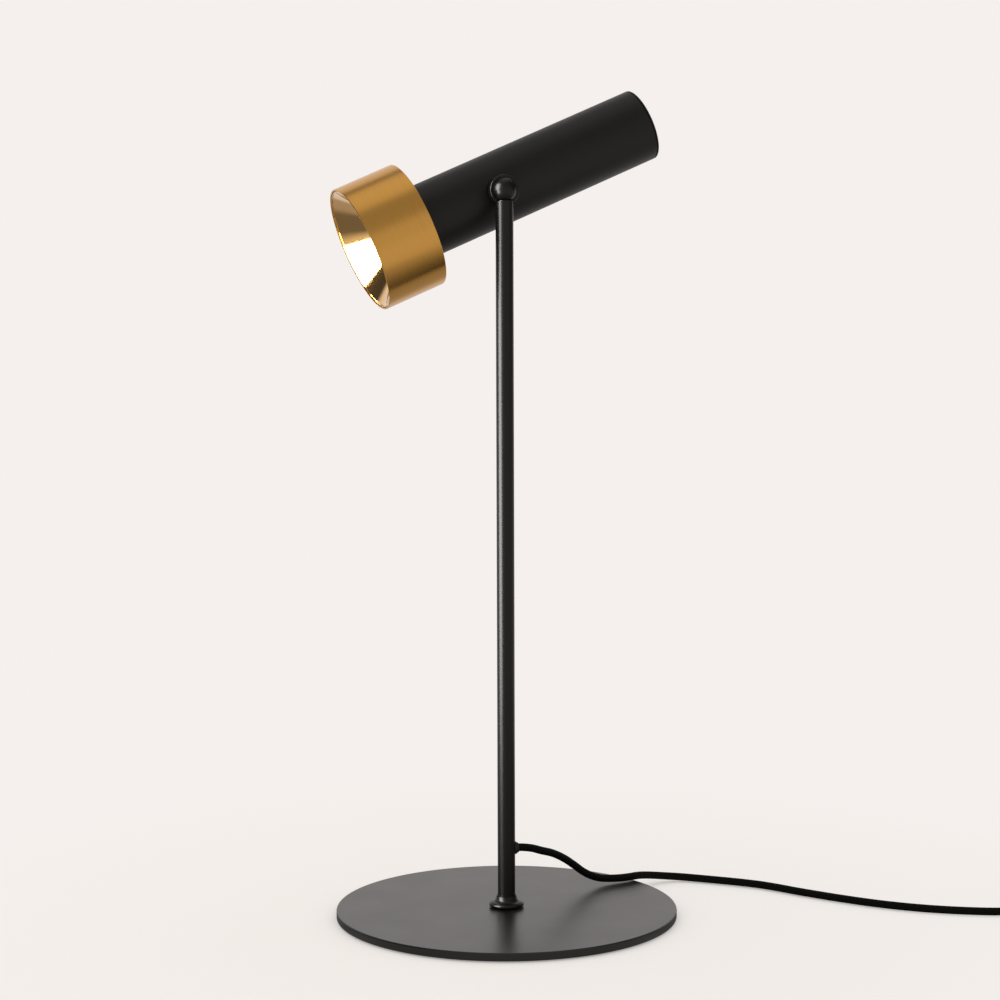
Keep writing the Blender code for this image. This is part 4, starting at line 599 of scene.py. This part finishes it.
FOOT, COLLAR_BORE, COLLAR_HEIGHT = 5.6, 5.45, 6.7
BEAD_MIDDLE, BEAD_RADIUS = 9.0, 1.3
FLARE_OUT, FLARE_UP = 3.2, 3.8
bead = np.linspace(-math.pi / 2, math.pi / 2, 15)
flare = np.linspace(0, math.pi / 2, 16)
bead_rows = (BEAD_MIDDLE + BEAD_RADIUS * np.cos(bead), BEAD_RADIUS * (1 + np.sin(bead)))
flare_rows = (BEAD_MIDDLE - FLARE_OUT * np.sin(flare), COLLAR_HEIGHT - FLARE_UP * np.cos(flare))
low, high = [[COLLAR_BORE, 0]], [[COLLAR_BORE, COLLAR_HEIGHT]]
collar_rows = np.concatenate((low, np.stack(bead_rows, axis=1), np.stack(flare_rows, axis=1), high))
collar = turned("collar_at_foot", (collar_rows + (0, FOOT)) * MM, UPRIGHT, sides=96)
place(collar, STEM_ENAMEL, "satin", "stand", "foot_collar")
print("collar faces", len(collar.data.polygons))

# %% [markdown]
# ## Stem
# A drawn steel tube of 10.3 mm with a wall of 1 mm. It is hollow, because the wires climb in it, and one
# hole in its side lets the cord in.

# %% Stem with its cord hole
STEM_RADIUS, STEM_BORE, STEM_TOP = 5.15, 4.15, 417.8
EXIT_HEIGHT, EXIT_HOLE = 40, 3.4
stem_wall = corners((STEM_RADIUS, FOOT), (STEM_RADIUS, STEM_TOP), (STEM_BORE, STEM_TOP), (STEM_BORE, FOOT))
stem = turned("tube_of_stem", stem_wall, UPRIGHT, sides=96)
sideways = Matrix.Translation((0, 0, EXIT_HEIGHT * MM)) @ Matrix.Rotation(math.pi / 2, 4, "Y")
hole = turned("hole", corners((0, 0), (EXIT_HOLE, 0), (EXIT_HOLE, 9), (0, 9)), sideways, sides=64)
place(carve(stem, hole), STEM_ENAMEL, "satin", "stand", "stem_tube")
print("stem faces", len(stem.data.polygons))

# %% [markdown]
# ## Ball knuckle
# The knuckle is one turned piece: a ball, a thin rim with soft edges round its middle, and a neck behind it
# that narrows towards the head. It sits on the stem's end, which is let into the ball, with a hollow spigot
# inside the stem. A ball alone would look like a bead glued to a tube. The rim and the neck tell how the
# head is held. The ball and the rim are two curves of one turned profile, and the seat, the spigot and the
# way of the wires are cut or fused along the stem's axis, which a lathe can't reach from the pivot's.

# %% Knuckle
BALL, WIRE_WAY = 7.2, 2.6
RIM_RADIUS, RIM_HALF, RIM_EDGE = 8.8, 0.9, 0.6
NECK_RADIUS, NECK_START, NECK_END = 6, 3.6, 5.6
BOLT_SEAT, BOLT_FLOOR = 4.3, 1.3
CORNER_ROWS = 9  # rows that rounded() makes of each corner
meet = math.asin(-RIM_HALF / BALL)
turn = np.linspace(-math.pi / 2, meet, 40)
ball_rows = np.stack((BALL * np.cos(turn), BALL * np.sin(turn)), axis=1) * MM
rim_rows = rounded(
    corners(
        (RIM_RADIUS, -RIM_HALF, RIM_EDGE),
        (RIM_RADIUS, RIM_HALF, RIM_EDGE),
        (BALL, RIM_HALF, 0),
        (NECK_RADIUS, NECK_START, 0),
        (NECK_RADIUS, NECK_END, 0),
        (BOLT_SEAT, NECK_END, 0),
        (BOLT_SEAT, BOLT_FLOOR, 0),
        (0, BOLT_FLOOR, 0),
        (0, -BALL, 0),
    )
)
behind_ball = rim_rows[:-CORNER_ROWS]  # the last corner only shows the one before it where to go
knuckle = turned("knuckle_with_disc", np.concatenate((ball_rows, behind_ball)), PIVOT, sides=128)
seat_place = Matrix.Translation((0, 0, PIVOT_HEIGHT))
seat = turned("seat", corners((0, -12), (5.45, -12), (5.45, -6.2), (0, -6.2)), seat_place, sides=96)
spigot = turned("spigot", corners((0, -20.2), (3.85, -20.2), (3.85, -5.9), (0, -5.9)), seat_place, sides=64)
way_rows = corners((0, -21), (WIRE_WAY, -21), (WIRE_WAY, WIRE_WAY), (0, WIRE_WAY))
wire_way = turned("wire way", way_rows, seat_place, sides=48)
knuckle = carve(carve(carve(knuckle, seat), spigot, "UNION"), wire_way)
place(knuckle, STEM_ENAMEL, "satin", "stand", "ball_knuckle")
print("knuckle faces", len(knuckle.data.polygons))

# %% [markdown]
# ## Tube head and rear cap
# The tube is aluminium, 43 mm across. A cap with a spigot closes its rear, and the seam between them is
# the thin dark line near the end. Both are turned about the tube's own axis.

# %% Tube and cap
TUBE_RADIUS, TUBE_BORE, TUBE_REAR, TUBE_FRONT = 21.5, 20, -101.9, 48.2
CAP_BACK, CAP_FRONT, SPIGOT_RADIUS, SPIGOT_BORE, SPIGOT_END = -103.2, -102.2, 19.7, 17.7, -93.9
tube_rows = corners(
    (TUBE_BORE, TUBE_REAR, 0),
    (TUBE_RADIUS, TUBE_REAR, 0.2),
    (TUBE_RADIUS, TUBE_FRONT, 0.2),
    (TUBE_BORE, TUBE_FRONT, 0),
)
tube = turned("tube_of_head", rounded(tube_rows, steps=4), TUBE, sides=160)
hole_rows = corners((0, 7.2), (BOLT_SEAT, 7.2), (BOLT_SEAT, 12.2), (0, 12.2))
place(carve(tube, turned("pivot hole", hole_rows, PIVOT, sides=64)), TUBE_COAT, "coat", "head", "head_tube")
cap_rows = corners(
    (0, CAP_BACK, 0),
    (TUBE_RADIUS, CAP_BACK, 0.3),
    (TUBE_RADIUS, CAP_FRONT, 0.15),
    (SPIGOT_RADIUS, CAP_FRONT, 0),
    (SPIGOT_RADIUS, SPIGOT_END, 0),
    (SPIGOT_BORE, SPIGOT_END, 0),
    (SPIGOT_BORE, CAP_FRONT, 0),
    (0, CAP_FRONT, 0),
)
cap = turned("cap_at_rear", rounded(cap_rows, steps=5), TUBE, sides=160)
place(cap, TUBE_COAT, "coat", "head", "rear_cap")
print("tube and cap:", len(tube.data.polygons), len(cap.data.polygons), "faces")

# %% [markdown]
# ## Shade ring and mirror
# The ring is turned from brass, with a thin wall and a flat back. Its mouth edge is broken by 0.4 mm, which
# catches light as a thin line. The mirror inside is a spun cone that swells a little, so it gathers light
# from the whole room into one bright fold.

# %% Ring
RING_RADIUS, RING_BORE, RING_REAR, RING_FRONT = 37.5, 36.5, 48.5, 85.5
RING_HOLE, RING_FLOOR, RING_EDGE = 15.5, 50.5, 0.4
ring_rows = corners(
    (RING_HOLE, RING_REAR, 0),
    (RING_RADIUS, RING_REAR, RING_EDGE),
    (RING_RADIUS, RING_FRONT, RING_EDGE),
    (RING_BORE, RING_FRONT, RING_EDGE),
    (RING_BORE, RING_FLOOR, 0.3),
    (RING_HOLE, RING_FLOOR, 0),
)
ring = turned("ring_of_shade", rounded(ring_rows), TUBE, sides=240)
place(ring, BRASS, "brass", "head", "shade_ring")
print("ring faces", len(ring.data.polygons))

# %% Mirror
THROAT, MOUTH, BULGE = 9.8 * MM, 35.6 * MM, 0.9
SEAT, BAND, RIM, WALL = 59.9 * MM, 84.5 * MM, 85.1 * MM, 0.6 * MM
share = np.linspace(0, 1, 28)
radius = THROAT + (MOUTH - THROAT) * share**BULGE
inside = np.stack((radius, SEAT + WALL + (BAND - SEAT - WALL) * share), axis=1)
slope = np.gradient(inside, axis=0)
slope /= np.linalg.norm(slope, axis=1, keepdims=True)
outside = inside + np.stack((slope[:, 1], -slope[:, 0]), axis=1) * WALL
outside = outside[(outside[:, 0] < MOUTH + WALL) & (outside[:, 0] > 13 * MM)]
SOFT = 0.2 * MM
lip = [(MOUTH + WALL, BAND), (MOUTH + WALL, RIM - SOFT), (MOUTH + WALL - SOFT, RIM)]
lip += [(MOUTH + SOFT, RIM), (MOUTH, RIM - SOFT)]
mirror_profile = np.concatenate(([(THROAT, SEAT), (13 * MM, SEAT)], outside, lip, inside[::-1]))
mirror = turned("mirror_cone", mirror_profile, TUBE, sides=240)
place(mirror, MIRROR, "gold_mirror", "head", "reflector")
print("mirror faces", len(mirror.data.polygons))

# %% [markdown]
# ## Dome over the light
# A frosted cap hides the small yellow light source. Frosted plastic lets light in and scatters it, so the
# shader passes part of the light through with a rough surface.

# %% Dome and light source
frost, frost_tree, frost_shader = finish("frosted polycarbonate", "#efede4", 0.55, Transmission_Weight=0.35)
grain = add(frost_tree, "ShaderNodeTexNoise", {"Scale": 1 / (0.3 * MM)}, Vector=coordinates(frost_tree))
emboss(frost_tree, frost_shader, grain.outputs[0], 0.02 * MM, 0.5)
LIGHT_PLATE = 59.9
turn = np.linspace(0, math.pi / 2, 24)
dome_outer = np.stack((9.4 * np.cos(turn), LIGHT_PLATE + 6 * np.sin(turn)), axis=1)
dome_inner = np.stack((8.2 * np.cos(turn), LIGHT_PLATE + 4.8 * np.sin(turn)), axis=1)[::-1]
dome = turned("dome_over_light", np.concatenate((dome_outer, dome_inner)) * MM, TUBE, sides=96)
place(dome, frost, "frost", "head", "diffuser_dome")

phosphor, phosphor_tree, phosphor_shader = finish("yellow phosphor", "#eacb52", 0.6)
spot = coordinates(phosphor_tree)
dots = add(phosphor_tree, "ShaderNodeTexVoronoi", {"Scale": 1 / (0.9 * MM)}, Vector=spot)
tint(phosphor_tree, phosphor_shader, dots.outputs[0], "#f0d568", "#dcb63a")
print("dome faces", len(dome.data.polygons))

# %% [markdown]
# ## Hand switch
# The switch is two shells with a boat-shaped outline, held by two screws from below, and a rocker. Its
# outline is half the end width plus a swell that follows the square root of 1 - |cos|^3, which gives blunt
# ends and a full middle.

# %% Shells of the switch
SWITCH = Matrix.Translation((SWITCH_MIDDLE[0], SWITCH_MIDDLE[1], 0)) @ Matrix.Rotation(SWITCH_HEADING, 4, "Z")


def boat(points=160):
    """x = 31 cos a, y = +-(6 + 7 sqrt(1 - |cos a|^3)) millimetres, with a from 0 to pi on each side."""
    angle = np.linspace(0, math.pi, points // 2)
    x = SWITCH_HALF * np.cos(angle)
    y = (6 + 7 * np.sqrt(np.clip(1 - np.abs(np.cos(angle)) ** 3, 0, 1))) * MM
    return np.concatenate((np.stack((x, y), axis=1), np.stack((x, -y), axis=1)[::-1]))


def shell(name, low, high, top, fillet=2.2 * MM):
    """Rows of the boat outline, drawn in towards its middle by fillet (1 - cos a) while the height closes
    on the rounded face by fillet sin a."""
    outline = boat()
    arc = np.linspace(0, math.pi / 2, 10)
    inset = np.concatenate(([0], fillet * (1 - np.cos(arc)), [fillet * 1.3]))
    level = np.concatenate(([low], high - fillet * (1 - np.sin(arc)), [high]))
    if not top:
        level = low + high - level
    size = np.abs(outline).max(axis=0)
    scale = 1 - inset[:, None] / size
    flat = outline[None] * scale[:, None]
    grid = np.concatenate((flat, np.repeat(level[:, None, None], outline.shape[0], axis=1)), axis=2)
    ends = np.zeros((1, outline.shape[0], 3))
    first, last = ends + (0, 0, level[0]), ends + (0, 0, level[-1])
    return skin(name, moved(np.concatenate((first, grid, last)), SWITCH))


def block(name, low, high, matrix):
    """A box as a grid: four corners round, closed at the bottom and the top."""
    x = np.array((low[0], high[0], high[0], low[0]))
    y = np.array((low[1], low[1], high[1], high[1]))
    rows = [np.stack((x, y, np.full(4, z)), axis=1) for z in (low[2], high[2])]
    middle = np.array(((low[0] + high[0]) / 2, (low[1] + high[1]) / 2, 0))
    first = np.tile(middle + (0, 0, low[2]), (4, 1))
    last = np.tile(middle + (0, 0, high[2]), (4, 1))
    return skin(name, moved(np.stack((first, *rows, last)) * MM, matrix))


lower = shell("lower_shell", 0, 8.85 * MM, top=False)
upper = shell("upper_shell", 9.15 * MM, 18 * MM, top=True)
for side in (-1, 1):
    across = SWITCH @ Matrix.Translation((0, 0, 9 * MM)) @ Matrix.Rotation(side * math.pi / 2, 4, "Y")
    nose = turned("nose", corners((0, 25), (4.6, 25), (4.6, 31), (3.3, 36), (0, 36)), across, sides=48)
    carve(lower, nose, "UNION")
    room = turned("room", corners((0, 24.7), (4.9, 24.7), (4.9, 37), (0, 37)), across, sides=48)
    carve(upper, room)
    way = turned("way", corners((0, 20), (2.6, 20), (2.6, 37), (0, 37)), across, sides=48)
    carve(lower, way)
    spot = SWITCH @ Matrix.Translation((side * 22.94 * MM, 0, 0))
    screw_well = corners((0, -1), (3.0, -1), (3.0, 3.3), (1.7, 3.3), (1.7, 8.9), (0, 8.9))
    carve(lower, turned("well", screw_well, spot, sides=40))
carve(upper, block("rocker well", (-8.7, -6.05, 10.4), (8.7, 6.05, 19), SWITCH))
place(lower, BLACK_PLASTIC, "black_plastic", "stand", "switch_base")
place(upper, BLACK_PLASTIC, "black_plastic", "stand", "switch_cover")
print("shells:", len(lower.data.polygons), len(upper.data.polygons), "faces")

# %% Rocker and screws
ROCKER = SWITCH @ Matrix.Translation((0, 0, 15 * MM)) @ Matrix.Rotation(math.radians(-8), 4, "Y")
x = np.linspace(-8, 8, 33)
dish = 3.0 + 1.2 * (x / 8) ** 2
belly = np.where(np.abs(x) < 4.1, -np.sqrt(np.clip(4.2**2 - x**2, 0, None)), -0.5)
belly = np.minimum(belly, -0.5)
section = np.concatenate((np.stack((x, dish), axis=1), np.stack((x, belly), axis=1)[::-1]))
width = np.array([-5.75, -5.75, -5.45, 0, 5.45, 5.75, 5.75])
draw = np.array([0.0, 0.965, 1.0, 1.0, 1.0, 0.965, 0.0])
MIDDLE = 1.4
across, size = width[:, None], draw[:, None]
key_rows = (size * section[:, 0], across + 0 * section[:, 0], MIDDLE + size * (section[:, 1] - MIDDLE))
grid = np.stack(key_rows, axis=-1)
rocker = skin("rocker_key", moved(grid * MM, ROCKER))
place(rocker, BLACK_PLASTIC, "black_plastic", "rocker", "switch_rocker")
print("rocker faces", len(rocker.data.polygons))

# %% [markdown]
# ## Plug
# A flat two-pin plug is one moulding over its pins: a ribbed sleeve that bends with the cord, then a body
# that swells from round to a boxy oval. Each section is a superellipse, |y/a|^n + |z/b|^n = 1, and n grows
# from 2 at the sleeve to 4 at the face.

# %% Plug body and pins
PLUG_TIP = coil_end + ahead * (TAIL + GAP)
PLUG = Matrix.Translation((PLUG_TIP[0], PLUG_TIP[1], PLUG_HEIGHT / 2)) @ Matrix.Rotation(math.pi / 2, 4, "Z")
sleeve = np.linspace(0, 20, 81)
grown = 3.2 + 1.2 * sleeve / 20
ribs = 0.5 * np.clip(np.sin(sleeve / 20 * 2 * math.pi * 4.5 - 1.2) * 2.2, -0.6, 1)
body = np.linspace(20.5, 55, 60)
rise = np.clip((body - 20.5) / (45.2 - 20.5), 0, 1)
rise = rise * rise * (3 - 2 * rise)
edge = np.sqrt(np.clip(1 - ((body - 53.8).clip(0) / 1.2) ** 2, 0, 1))
half_y = np.concatenate((grown + ribs * 0.5, 6.5 + (17.65 - 6.5) * rise - (1 - edge)))
half_z = np.concatenate((grown + ribs * 0.5, 5.5 + (6.85 - 5.5) * rise - (1 - edge)))
power = np.concatenate((np.full(81, 2.0), 2.2 + 1.8 * rise))
reach_x = np.concatenate((sleeve, body))
angle = np.linspace(0, 2 * math.pi, 96, endpoint=False)
cosine, sine = np.cos(angle), np.sin(angle)
grid = np.stack(
    (
        reach_x[:, None] + 0 * angle,
        half_y[:, None] * np.sign(cosine) * np.abs(cosine) ** (2 / power[:, None]),
        half_z[:, None] * np.sign(sine) * np.abs(sine) ** (2 / power[:, None]),
    ),
    axis=-1,
)
first, last = grid[:1] * (1, 0, 0), grid[-1:] * (1, 0, 0)
plug = skin("plug_moulding", moved(np.concatenate((first, grid, last)) * MM, PLUG))
place(plug, BLACK_PLASTIC, "black_plastic", "stand", "plug_body")
on_cord = [plug, lower, upper, rocker]
for number, side in ((1, -1), (2, 1)):
    seat = PLUG @ Matrix.Translation((0, side * 9.3 * MM, 0)) @ Matrix.Rotation(math.pi / 2, 4, "Y")
    carve(plug, turned("pin seat", corners((0, 49), (2.0, 49), (2.0, 57), (0, 57)), seat, sides=40))
    insulation = corners((0, 49.3), (1.75, 49.3), (1.75, 65), (0, 65))
    cover = turned(f"pin_sleeve_{number}", insulation, seat, sides=40)
    place(cover, BLACK_PLASTIC, "black_plastic", "stand")
    pin = turned(
        f"pin_{number}",
        rounded(corners((0, 65.05, 0), (1.75, 65.05, 0), (2.0, 65.3, 0), (2.0, 74, 1.4), (0, 74, 0))),
        seat,
        sides=40,
    )
    place(pin, NICKEL, "pins", "stand", f"plug_pin_{number}")
    on_cord += [cover, pin]
print("plug faces", len(plug.data.polygons))

# %% [markdown]
# ## Tie round the coil
# A strap of soft rubber holds the turns together. It is pulled tight, so its way round is a box with corners
# as round as the cord, and its loose end lies over the outside. A band is one more grid: rows go along the
# strap and the four columns are the edges of its section.

# %% Strap and its loose end
TIE_MIDDLE = Matrix.Translation((COIL_MIDDLE[0] - 24.95 * MM, COIL_MIDDLE[1], 11.15 * MM))


def band(offset, thickness, half_width):
    """Section (x, z) of a box of 5.4 by 10.2 half sizes with round corners, grown by offset and then by
    offset + thickness, once at each side y of the strap."""
    rings = []
    for grow in (offset, offset + thickness):
        half_x, half_z, bend = 5.4 + grow, 10.2 + grow, 2.5 + grow
        signs = ((-1, -1), (1, -1), (1, 1), (-1, 1))
        box = [(side * half_x, level * half_z, bend) for side, level in signs]
        rings.append(rounded(corners(*box), steps=9))
    inner, outer = rings
    edges = [(inner, -half_width), (outer, -half_width), (outer, half_width), (inner, half_width)]
    columns = [np.stack((way[:, 0], 0 * way[:, 0] + y, way[:, 1]), axis=1) for way, y in edges]
    return np.stack(columns, axis=1)


strap = skin("strap_of_coil", moved(band(0, 0.7, 4 * MM), TIE_MIDDLE), loop=True)
end_rows = np.roll(band(0.75, 0.7, 3.9 * MM), 11, axis=0)[:18]
caps = [np.repeat(row.mean(axis=0)[None, None], 4, axis=1) for row in (end_rows[0], end_rows[-1])]
strap_end = skin("end_of_strap", moved(np.concatenate((caps[0], end_rows, caps[1])), TIE_MIDDLE))
place(strap, BLACK_RUBBER, "black_rubber", "stand", "coil_tie")
place(strap_end, BLACK_RUBBER, "black_rubber", "stand")
on_cord += [strap, strap_end]
print("strap faces", len(strap.data.polygons), len(strap_end.data.polygons))

# %% [markdown]
# ## What stays as it came
# The hidden pieces, and the small ones that are already the right shape, keep their solids and only get
# their finish.

# %% Finishes for the carried solids
LOOKS = {
    FELT: ["base_pad"],
    BLACK_RUBBER: ["cord_grommet"],
    BLACK_PLASTIC: ["friction_washer", "light_lead_minus"],
    TUBE_COAT: ["pivot_saddle"],
    ALUMINIUM: ["heat_sink"],
    phosphor: ["light_emitter"],
    WHITE_PLASTIC: ["light_board", "light_driver", "terminal_block"],
    BROWN_WIRE: ["stem_wire_live", "head_wire_live"],
    BLUE_WIRE: ["stem_wire_neutral", "head_wire_neutral"],
    RED_WIRE: ["light_lead_plus"],
}
LOOKS[ZINC] = ["base_screw", "stem_insert", "switch_screw_1", "switch_screw_2"]
LOOKS[ZINC] += ["pivot_bolt", "spring_washer", "pivot_nut", "inner_saddle", "shade_ring_nut"]
for look, names in LOOKS.items():
    for name in names:
        carried[name].data.materials.clear()
        carried[name].data.materials.append(look)
print(sum(len(names) for names in LOOKS.values()), "carried solids dressed")

on_cord += [carried["switch_screw_1"], carried["switch_screw_2"]]
print("cord declared with", len(on_cord), "pieces on it")

# %% [markdown]
# ## Floor and background
# The lamp stands on a pale sweep with no horizon. The floor near the lamp is a real surface that takes
# shade. Farther out it fades into the same flat colour that the world shows to the camera. A photographer
# stands black boards at the sides of a dark object, so that it mirrors the backdrop behind it, the room in
# front and a silk overhead, with dark gaps between them. The boards are numbers here: what gloss sees
# fades to dark as its direction turns to the sides, on the floor as in the air.

# %% What the eye and the gloss see
BACKDROP = "#f5f0ed"
AWAY = (0.297, 0.955, 0.0)  # level direction in which the camera looks


def larger(tree, first, second):
    """The larger of two values."""
    return add(tree, "ShaderNodeMath", {"operation": "MAXIMUM"}, i0=first, i1=second).outputs[0]


def seen_by_eye_or_gloss(tree):
    """1 for rays that look, directly, in a reflection or through glass, and 0 for rays that carry light."""
    path = add(tree, "ShaderNodeLightPath")
    seen = path.outputs["Is Camera Ray"]
    for kind in ("Is Glossy Ray", "Is Transmission Ray"):
        seen = larger(tree, seen, path.outputs[kind])
    return seen


def smooth_step(tree, value, start, end, low, high):
    """low before start and high after end, joined by 3t^2 - 2t^3."""
    step = {"From Min": start, "From Max": end, "To Min": low, "To Max": high}
    step["interpolation_type"] = "SMOOTHSTEP"
    return add(tree, "ShaderNodeMapRange", step, Value=value).outputs[0]


def towards_backdrop(tree, direction):
    """Dot product of AWAY and the direction: 1 at the backdrop, 0 at the sides, -1 at the camera."""
    level = add(tree, "ShaderNodeVectorMath", {"operation": "NORMALIZE"}, i0=direction).outputs[0]
    return add(tree, "ShaderNodeVectorMath", {"operation": "DOT_PRODUCT", 1: AWAY}, i0=level).outputs["Value"]


def for_gloss(tree, level):
    """The level for gloss, and 1 for every other ray."""
    gloss = add(tree, "ShaderNodeLightPath").outputs["Is Glossy Ray"]
    return add(tree, "ShaderNodeMix", {"data_type": "FLOAT", 2: 1.0}, i0=gloss, i3=level).outputs[0]


print("backdrop", [round(value, 3) for value in linear(BACKDROP)[:3]])

# %% Floor
FLOOR_HALF = 6.0
corner = np.array([(-1, -1), (1, -1), (1, 1), (-1, 1)]) * FLOOR_HALF
floor_mesh = bpy.data.meshes.new("floor")
floor_mesh.from_pydata([(x, y, 0) for x, y in corner], [], [(0, 1, 2, 3)])
floor = bpy.data.objects.new("floor", floor_mesh)
floor.location.z = -0.2 * MM
bpy.context.collection.objects.link(floor)
paper = bpy.data.materials.new("matt paper sweep")
paper.use_nodes = True
tree = paper.node_tree
tree.nodes.remove(tree.nodes["Principled BSDF"])
where = add(tree, "ShaderNodeTexCoord").outputs["Object"]
distance = add(tree, "ShaderNodeVectorMath", {"operation": "LENGTH"}, i0=where).outputs["Value"]
fade = smooth_step(tree, distance, 0.12, 0.5, 0.35, 1.0)
seen = seen_by_eye_or_gloss(tree)
amount = add(tree, "ShaderNodeMath", {"operation": "MULTIPLY"}, i0=fade, i1=seen).outputs[0]
amount = larger(tree, amount, add(tree, "ShaderNodeLightPath").outputs["Is Glossy Ray"])
turn = towards_backdrop(tree, where)
turn = add(tree, "ShaderNodeMath", {"operation": "ABSOLUTE"}, i0=turn).outputs[0]
# Painted shade in reflections: gloss sees the floor within about 0.35 m of the lamp at only 0.22 to 0.5 of
# the backdrop, darkest towards the sides. Farther out it sees it at 0.9, as if the floor round the lamp lay
# in shade.
near = smooth_step(tree, turn, 0.25, 0.6, 0.22, 0.5)
far = smooth_step(tree, distance, 0.35, 0.6, 0.0, 0.9)
lit = add(tree, "ShaderNodeBsdfDiffuse", {"Color": linear("#f3f1ee")})
level = for_gloss(tree, larger(tree, near, far))
glow = add(tree, "ShaderNodeEmission", {"Color": linear(BACKDROP)}, Strength=level)
mixed = add(tree, "ShaderNodeMixShader", i0=amount, i1=lit.outputs[0], i2=glow.outputs[0])
tree.links.new(mixed.outputs[0], tree.nodes["Material Output"].inputs["Surface"])
floor_mesh.materials.append(paper)
print("floor ready")

# %% [markdown]
# ## World and lamps
# Rays that carry light get an even sky. A wide box overhead shapes the tube. A tall window at the left is
# what the stem and the ball mirror as a clear line and what fills the mirror cone. It is a glowing sheet
# that only their gloss can see, so its line can be as bright as in the picture, and the floor and the other
# pieces stay evenly lit.

# %% World
world = bpy.data.worlds.new("studio")
bpy.context.scene.world = world
world.use_nodes = True
tree = world.node_tree
tree.nodes.clear()
ray = add(tree, "ShaderNodeTexCoord").outputs["Generated"]
turn = towards_backdrop(tree, ray)
behind = smooth_step(tree, turn, 0.4, 0.62, 0.08, 1.0)
front = smooth_step(tree, turn, -0.15, -0.6, 0.08, 0.8)
height = add(tree, "ShaderNodeSeparateXYZ", Vector=ray).outputs["Z"]
wall = smooth_step(tree, height, 0.3, 0.5, 1.0, 0.6)
front = add(tree, "ShaderNodeMath", {"operation": "MULTIPLY"}, i0=front, i1=wall).outputs[0]
silk = smooth_step(tree, height, 0.82, 0.96, 0.0, 1.0)
level = for_gloss(tree, larger(tree, larger(tree, behind, front), silk))
shown = add(tree, "ShaderNodeBackground", {"Color": linear(BACKDROP)}, Strength=level)
sky = add(tree, "ShaderNodeBackground", {"Color": linear("#fbf8f4"), "Strength": 0.9})
seen = seen_by_eye_or_gloss(tree)
both = add(tree, "ShaderNodeMixShader", i0=seen, i1=sky.outputs[0], i2=shown.outputs[0])
out = add(tree, "ShaderNodeOutputWorld")
tree.links.new(both.outputs[0], out.inputs["Surface"])
print("world ready")

# %% Soft box
BOX_SIDE = 1.3
BOX_RADIANCE = 0.8
BOX_PLACE = Vector((-0.2, 0.35, 1.7))
BOX_AIM = Vector((0, 0, 0.1))
box_data = bpy.data.lights.new("overhead box", "AREA")
box_data.shape = "RECTANGLE"
box_data.size = box_data.size_y = BOX_SIDE
box_data.energy = BOX_RADIANCE * math.pi * BOX_SIDE**2
overhead = bpy.data.objects.new("overhead box", box_data)
overhead.location = BOX_PLACE
overhead.rotation_euler = (BOX_AIM - BOX_PLACE).to_track_quat("-Z", "Y").to_euler()
overhead.visible_camera = overhead.visible_glossy = False
bpy.context.collection.objects.link(overhead)
print("overhead box", round(box_data.energy, 2), "W")


# %% Window
def window(name, middle, width, low, high, radiance, mirrored_by):
    """An upright glowing sheet that faces the stem. Only the gloss of the pieces in mirrored_by sees it, as
    if cards kept it off the others."""
    middle = np.array((*middle, 0.0))
    across = np.cross((0, 0, 1), middle / np.linalg.norm(middle)) * width / 2
    mesh = bpy.data.meshes.new(name)
    rows = [middle - across + (0, 0, low), middle + across + (0, 0, low)]
    rows += [middle + across + (0, 0, high), middle - across + (0, 0, high)]
    mesh.from_pydata([tuple(row) for row in rows], [], [(0, 1, 2, 3)])
    sheet = bpy.data.objects.new(name, mesh)
    bpy.context.collection.objects.link(sheet)
    glass = bpy.data.materials.new(name)
    glass.use_nodes = True
    glass.node_tree.nodes.clear()
    light = add(glass.node_tree, "ShaderNodeEmission", {"Strength": radiance})
    out = add(glass.node_tree, "ShaderNodeOutputMaterial")
    glass.node_tree.links.new(light.outputs[0], out.inputs["Surface"])
    mesh.materials.append(glass)
    sheet.visible_camera = sheet.visible_diffuse = sheet.visible_shadow = sheet.visible_transmission = False
    receivers = bpy.data.collections.new(name)
    for piece in mirrored_by:
        receivers.objects.link(piece)
    sheet.light_linking.receiver_collection = receivers


window("left window", (-0.68, -0.065), 0.47, 0.0, 1.1, 26.0, (stem, collar, knuckle, mirror))
